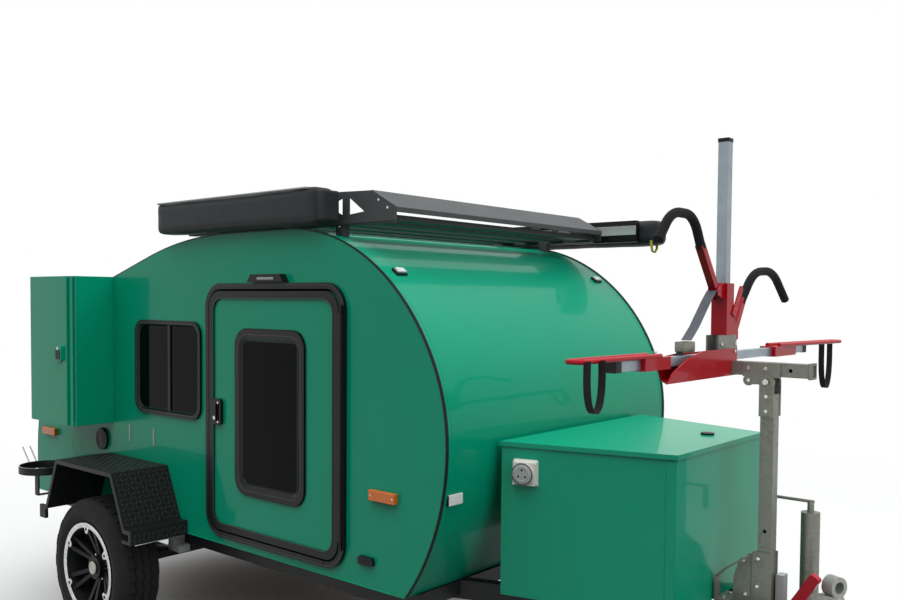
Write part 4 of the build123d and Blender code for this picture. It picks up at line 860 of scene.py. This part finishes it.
for side, sign in sides:
    flank_door = body_of("flank_box_door_" + side)
    moulded_block("porch_lens_" + side, (-1040, sign * 864, 1733), (-930, sign * 866.5, 1744), 1.0, pale_abs,
                  "trailer")
    moulded_block("latch_paddle_" + side, (-2428, sign * 1067, 1336), (-2384, sign * 1071, 1384), 1.5,
                  moulded_black, flank_door, ((0, sign, 0), 6, 1.5))
    fasten(((9, 0), (9, 2.5), (6, 3.2)), outward(sign, (-2406, 1067.5, 1392)), "latch_lock_" + side,
           flank_door)
    moulded_block("bar_end_cap_" + side, (653.5, sign * 798, 1431.5), (690.5, sign * 838, 1468.5), 3,
                  moulded_black, "carrier", ((0, sign, 0), 4, 1.5))
moulded_block("mast_cap", (640, -22, 2252), (684, 22, 2268), 3, moulded_black, "carrier",
              (upward, 4, 1.5))
moulded_block("tube_mouth_collar", (994, -29, 1380), (1007, 29, 1438), 2, galvanised, "carrier",
              (forward, 7, 8))
hem_x = (-3120, -265)
for side, sign in sides:
    moulded_block("wall_hem_" + side, (hem_x[0], sign * 830.5, 532.2), (hem_x[1], sign * 834, 537.5), 1.6,
                  emerald, "trailer")
    moulded_block("guard_raw_edge_" + side, (-1620, sign * 850, 527.5), (-1613.5, sign * 1104, 531.5), 0.8,
                  bright_zinc, body_of("mudguards"))
print("wall hem", hem_x[1] - hem_x[0], "mm long")

# %% [markdown]
# ## Vents and the power inlet
# The round vent is a shallow dish with raised rings, turned in one go. The inlet is a square white
# housing with a dark ring round a grey screw cover, three blanked pins and four screws.

# %% Vents and inlet
vent_profile = ((58, 0), (58, 4), (54, 6), (46, 6), (43, 3.5), (38, 3.5), (36, 6), (28, 6), (25, 3.5),
                (20, 3.5), (18, 6), (9, 6.5))
slat_profile = ((1.2, -32), (1.6, -30), (1.6, 30), (1.2, 32))
for side, sign in sides:
    spread(turned(vent_profile, 40), outward(sign, (-2393, 841, 905)), "round_vent_" + side, moulded_black,
           "trailer")
    screws = outward(sign, (-361, 852.6, 904), (-245, 852.6, 904))
    fasten(rivet_head, screws, "marker_screws_" + side, steps=10)
    slats = [(at(-396, sign * 847, 632 + 6 * k), forward) for k in range(4)]
    spread(turned(slat_profile, 8), slats, "vent_slats_" + side, frame_black, "trailer")

# The toolbox side runs at an angle, so the inlet's parts are placed along it and out from it
face_along = Vector((636, 171, 0)).normalized()
face_out = Vector((face_along.y, -face_along.x, 0))
face_start = at(34, -543, 1008)
inlet_along = 0.098
inlet_out = 0.0405
inlet_middle = face_start + face_along * inlet_along + face_out * inlet_out


def on_inlet(along_mm, up_mm, out_mm=0):
    """A spot on the inlet, from the middle of its cover."""
    place = inlet_middle + (face_along * along_mm + face_out * out_mm + Vector((0, 0, up_mm))) / 1000
    return place, face_out


pin_circle = 16
screw_off = 40
screw_depth = 14.8
pins = []
for angle in (90, 210, 330):
    around = math.radians(angle)
    pins.append(on_inlet(pin_circle * math.cos(around), pin_circle * math.sin(around), 3))
screws = [on_inlet(x, z, -screw_depth) for z in (screw_off, -screw_off) for x in (-screw_off, screw_off)]
spread(turned(((42, -1), (42, 0.8), (40, 1.2)), 32), [on_inlet(0, 0)], "inlet_ring", grey_ring_and_painted_highlight, "trailer")
spread(turned(((37, 0), (37, 2), (33, 4), (24, 4.4), (22, 3.0), (12, 3.2)), 32), [on_inlet(0, 0)],
       "inlet_cover", pale_abs, "trailer")
spread(turned(((4, 0), (4, 1.2), (3, 1.8)), 10), pins, "inlet_pins", moulded_black, "trailer")
fasten(rivet_head, screws, "inlet_screws", steps=10)
print("inlet centre", [round(v, 3) for v in inlet_middle])

# %% [markdown]
# ## Rivets, bolts and pins
# Sheet corners are riveted, and steel plates are bolted. A folded strip laps each front corner of
# the toolbox, with a few painted rivets on the inlet's side.

# %% Corner strips and rivets
strip_size = (0.034, 0.0024, 0.566)
strip_mid_z = 0.815
strip_back = 0.0195
strip_out = 0.001
corner = at(670, -372, 0)
for side, sign in sides:
    strip = cube(strip_size)
    along = Vector((face_along.x, -sign * face_along.y, 0))
    away = Vector((-along.y, along.x, 0)) * sign
    strip.rotation_euler = (0, 0, math.atan2(along.y, along.x))
    edge = Vector((corner.x, -sign * corner.y, strip_mid_z))
    strip.location = edge - along * strip_back + away * strip_out
    round_edges(strip, 0.0008, 1)
    hand_over(strip, "toolbox_corner_strip_" + side, emerald, "trailer")
rivet_back = 0.020
rivet_out = 0.0021
rivet_low_z = 0.560
rivet_gap = 0.166
rivet_line = corner - face_along * rivet_back + face_out * rivet_out
rivets = [(rivet_line + Vector((0, 0, rivet_low_z + rivet_gap * k)), face_out) for k in range(4)]
spread(turned(rivet_head, 10), rivets, "toolbox_rivets", emerald, "trailer")
print("toolbox rivets", len(rivets))

# %% Bolts and nuts
post_bolts = outward(-1, (832, 33, 713), (830, 33, 610), (779, 41, 700), (790, 41, 575))
post_bolts += both_sides((850, 37.3, 1312), (850, 37.3, 1258))
fasten(hex_head, post_bolts, "post_bolts", steps=6)
base_bolts = []
for x, y, z in ((700, 30, 540), (1000, 34, 542), (1046, 40, 542)):
    base_bolts += [(at(x, -y, z), upward), (at(x, y, z), upward)]
fasten(hex_head, base_bolts, "base_bolts", steps=6)
carrier_bolts = [(at(712, 0, 1470), forward), (at(688, -66, 1496), forward), (at(688, 60, 1496), forward),
                 (at(672, -550, 1482.6), upward)]
carrier_bolts += outward(-1, (781, 31, 1367)) + both_sides((843, 31, 1413), (778, 31, 1413))
fasten(hex_head, carrier_bolts, "carrier_bolts", "carrier", 6)
fasten(((12, -2), (12, 7), (10, 9)), both_sides((850, 45, 1365)), "tilt_pin_nuts", steps=6)
fasten(dome_head, both_sides((-653, 746, 1950), (-1400, 746, 1950)), "rack_bolts")
fasten(dome_head, both_sides((-421, 754, 2043), (-372, 754, 2010)), "deflector_bolts")
print("bolts", len(post_bolts) + len(base_bolts) + len(carrier_bolts))


# %% [markdown]
# ## Straps
# Webbing is a flat band that follows what it is wrapped round. The end edge of a narrow plane is
# extruded from station to station, and Solidify gives the band its thickness.

# %% Webbing
def webbing(name, stations, across, thickness_mm, material, body):
    """A band through the stations. across is half its width, as a vector."""
    bpy.ops.mesh.primitive_plane_add(size=1, location=(0, 0, 0))
    band = bpy.context.object
    corners = (stations[0] - across, stations[0] + across, stations[1] - across, stations[1] + across)
    for vertex, place in zip(band.data.vertices, corners):
        vertex.co = place
    for previous, station in zip(stations[1:], stations[2:]):
        ends = (previous - across, previous + across)
        pick(band, "VERT", lambda vertex: min((vertex.co - end).length for end in ends) < 1e-5)
        bpy.ops.mesh.extrude_region_move(TRANSFORM_OT_translate={"value": station - previous})
        close_edit()
    face_outwards(band)
    solid = band.modifiers.new("thickness", "SOLIDIFY")
    solid.thickness = thickness_mm / 1000
    solid.offset = 0
    apply_all(band)
    return hand_over(band, name, material, body, smooth=50)


def half_width(mm):
    return Vector((mm / 2000, 0, 0))


strap_x = 662
strap = [at(strap_x, y, z) for y, z in ((-36, 1700), (-100, 1694), (-150, 1650), (-240, 1563), (-300, 1518))]
tail = [at(strap_x, y, z) for y, z in ((-300, 1512), (-345, 1480), (-392, 1428))]
webbing("hold_down_strap", strap, half_width(38), 2.2, grey_web, "carrier")
webbing("strap_tail", tail, half_width(26), 2.2, black_web, "carrier")
moulded_block("strap_ratchet", (640, -348, 1476), (684, -272, 1516), 5, galvanised, "carrier",
              (upward, 6, 8))


def hanging_loop(name, x, y0, y1, low_z):
    """A loop of webbing that hangs from two places on a rod, a little wider below than at the rod."""
    rod_z = 1478
    steps = 16
    stations = []
    for k in range(steps + 1):
        angle = math.pi * k / steps
        drop = math.sin(angle) ** 0.7
        swing = (y1 - y0) / 2 * math.cos(angle) * (1 + 0.15 * drop)
        stations.append(at(x, (y0 + y1) / 2 - swing, rod_z - (rod_z - low_z) * drop))
    return webbing(name, stations, half_width(25), 2.0, black_web, "carrier")


hanging_loop("near_loop_strap", 700, -1016, -934, 1322)
hanging_loop("far_loop_strap", 716, 962, 1072, 1262)
tie = [at(-90, 846, 1972), at(-86, 838, 1950), at(-82, 842, 1906), at(-78, 862, 1898), at(-76, 880, 1920),
       at(-78, 884, 1962)]
webbing("awning_tie", tie, half_width(14), 1.5, yellow_web, "trailer")
print("strap stations", len(strap), len(tail), len(tie))


# %% [markdown]
# ## Awning bags
# Each awning is rolled up inside a long bag of coated cloth. The bag is packed full and nearly
# smooth, with soft edges and sides that swell a little. A rounded block is remeshed evenly, its
# cloth is made slightly too large for it and the Cloth simulation swells it under a low pressure.
# The push is capped so that the bag keeps its size.

# %% Cloth bags
cloth_frames = 14
# Two shallow waves along a bag keep its sides from being dead straight: height, radians in a metre
long_wave = (0.0012, 9)
short_wave = (0.0006, 31)
wave_lean = 30.0


def cloth_bag(name, low, high, round_mm, voxel_mm, extra, pressure, cap_mm):
    """A padded bag between two corners. extra is how much too large the cloth is, as a share."""
    a = at(*low)
    b = at(*high)
    middle = (a + b) / 2
    bag = cube([abs(v) for v in (b - a)], middle)
    open_edit(bag)
    bpy.ops.mesh.bevel(offset=round_mm / 1000, segments=4, affect="EDGES")
    close_edit()
    remesh = bag.modifiers.new("even", "REMESH")
    remesh.mode = "VOXEL"
    remesh.voxel_size = voxel_mm / 1000
    apply_all(bag)
    for vertex in bag.data.vertices:
        along = vertex.co.x
        pull = long_wave[0] * math.sin(along * long_wave[1])
        pull += short_wave[0] * math.sin(along * short_wave[1] + wave_lean * vertex.co.z)
        vertex.co.z += pull * (1 if vertex.co.z > middle.z else -1)
        vertex.co.y += 0.7 * pull * (1 if vertex.co.y > middle.y else -1)
    rest = [vertex.co.copy() for vertex in bag.data.vertices]
    cloth = bag.modifiers.new("cloth", "CLOTH")
    cloth.settings.quality = 5
    cloth.settings.mass = 0.4
    cloth.settings.tension_stiffness = 20
    cloth.settings.compression_stiffness = 20
    cloth.settings.bending_stiffness = 0.6
    cloth.settings.use_pressure = True
    cloth.settings.uniform_pressure_force = pressure
    cloth.settings.shrink_min = -extra
    cloth.settings.effector_weights.gravity = 0
    cloth.point_cache.frame_start = 1
    cloth.point_cache.frame_end = cloth_frames
    for step in range(1, cloth_frames + 1):
        bpy.context.scene.frame_set(step)
    apply_all(bag)
    bpy.context.scene.frame_set(1)
    for vertex, start in zip(bag.data.vertices, rest):
        push = vertex.co - start
        if push.length > cap_mm / 1000:
            vertex.co = start + push.normalized() * cap_mm / 1000
    smooth = bag.modifiers.new("smooth", "SUBSURF")
    smooth.levels = 1
    smooth.render_levels = 1
    apply_all(bag)
    return hand_over(bag, name, coated_cloth, "trailer", smooth=60)


right_bag = cloth_bag("right_awning_bag", (-1780, -889, 1955), (-640, -781, 2101), 22, 9, 0.003, 0.8, 3.5)
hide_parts("awning_bag_right")
left_bag = cloth_bag("left_awning_roll", (-1780, 838, 1937), (-52, 948, 2058), 30, 11, 0.004, 1.0, 4)
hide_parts("awning_left")
moulded_block("left_awning_rail", (-1790, 800, 1952), (-150, 834, 2060), 2, frame_black, "trailer")
moulded_block("left_awning_channel", (-1788, 798, 1988), (-152, 801, 2034), 1, pale_abs, "trailer",
              ((0, -1, 0), 5, 1))
moulded_block("right_bag_zip_flap", (-655, -879, 1966), (-600, -791, 2086), 10, coated_cloth, "trailer",
              (forward, 10, 3))
# The pale strip along the right bag's top edge is a painted highlight
moulded_block("right_bag_painted_highlight_piping", (-1768, -892, 2093), (-690, -883, 2102), 3, piping_highlight_cloth, "trailer")
print("bags", [round(v, 3) for v in (*right_bag.dimensions, *left_bag.dimensions)])

# %% [markdown]
# ## Studio
# The light is soft and falls mostly from above: a bright dome fades to a dim horizon, so that tops
# are bright and sides are deep in colour. A large panel above, one ahead of the nose and a faint one
# at the side add shape, and none of them shows in the lacquer. The background stays white, also in
# lacquer, metal and glass, and the floor fades into it, so that no horizon shows. What the floor
# throws back up is a dim grey, which keeps the underside dark.

# %% Floor
fade_from = 2.2
fade_to = 7.5
bpy.ops.mesh.primitive_plane_add(size=60, location=(0, 0, 0))
floor = bpy.context.object
floor.name = "studio_floor"
floor_material, floor_shader = new_material("studio_floor", Roughness=0.9)
floor_place = add_node(floor_material, "TexCoord")
floor_reach = add_node(floor_material, "VectorMath", {"operation": "LENGTH"}, _0=(floor_place, "Object"))
floor_fade = add_node(floor_material, "MapRange", {"interpolation_type": "SMOOTHSTEP"},
                      Value=(floor_reach, "Value"), _1=fade_from, _2=fade_to)


def seen_directly(owner):
    """1 for what the eye, a mirror or a pane shows, 0 for the light that things throw on each other."""
    ray = add_node(owner, "LightPath")
    either = add_node(owner, "Math", {"operation": "MAXIMUM"}, _0=(ray, "Is Camera Ray"),
                      _1=(ray, "Is Glossy Ray"))
    return add_node(owner, "Math", {"operation": "MAXIMUM"}, _0=(either, "Value"),
                    _1=(ray, "Is Transmission Ray"))


floor_seen = seen_directly(floor_material)
floor_tint = add_node(floor_material, "Mix", {"data_type": "RGBA"}, Factor=(floor_seen, "Value"),
                      _6=hex_colour("#4C4D4E"), _7=hex_colour("#D8D9DA"))
feed(floor_material, floor_tint, 2, floor_shader, "Base Color")
floor_mask = add_node(floor_material, "Math", {"operation": "MULTIPLY"}, _0=(floor_fade, "Result"),
                      _1=(floor_seen, "Value"))
floor_white = add_node(floor_material, "Emission", Color=(1, 1, 1, 1), Strength=1.0)
floor_mix = add_node(floor_material, "MixShader", _0=(floor_mask, "Value"),
                     _1=(floor_shader, "BSDF"), _2=(floor_white, "Emission"))
feed(floor_material, floor_mix, 0, floor_material.node_tree.nodes["Material Output"], "Surface")
floor.data.materials.append(floor_material)
print("floor", [round(v) for v in floor.dimensions.xy], "m")


# %% Lights and world
def soft_panel(name, place, target, width, height, watts):
    light = bpy.data.lights.new(name, "AREA")
    light.shape = "RECTANGLE"
    light.size = width
    light.size_y = height
    light.energy = watts
    panel = bpy.data.objects.new(name, light)
    bpy.context.scene.collection.objects.link(panel)
    aim = (Vector(target) - Vector(place)).to_track_quat("-Z", "Y")
    panel.matrix_world = Matrix.Translation(place) @ aim.to_matrix().to_4x4()
    panel.visible_glossy = False


soft_panel("sky_panel", (0.5, 0.0, 5.2), (0, 0, 0.5), 7.0, 4.0, 90)
soft_panel("side_panel", (1.5, -6.5, 3.2), (0, 0, 1.0), 6.0, 3.0, 5)
soft_panel("nose_panel", (6.5, -1.5, 3.0), (1.0, 0, 1.0), 4.0, 3.0, 70)

# The dome's strength, and between which heights of a ray it grows, as the sine of its angle
dim_level = 0.02
bright_level = 1.8
dim_below = 0.30
bright_above = 0.75
world = bpy.data.worlds.new("studio_world")
world.use_nodes = True
bpy.context.scene.world = world
direction = add_node(world, "TexCoord")
height = add_node(world, "SeparateXYZ", Vector=(direction, "Generated"))
dome = add_node(world, "MapRange", {"interpolation_type": "SMOOTHSTEP"}, Value=(height, "Z"),
                _1=dim_below, _2=bright_above, _3=dim_level, _4=bright_level)
level = add_node(world, "Mix", Factor=(seen_directly(world), "Value"), _2=(dome, "Result"), _3=1.0)
background = world.node_tree.nodes["Background"]
background.inputs["Color"].default_value = (1, 1, 1, 1)
feed(world, level, 0, background, "Strength")
bpy.context.scene.view_settings.view_transform = "Standard"
print("lights", len(bpy.data.lights))
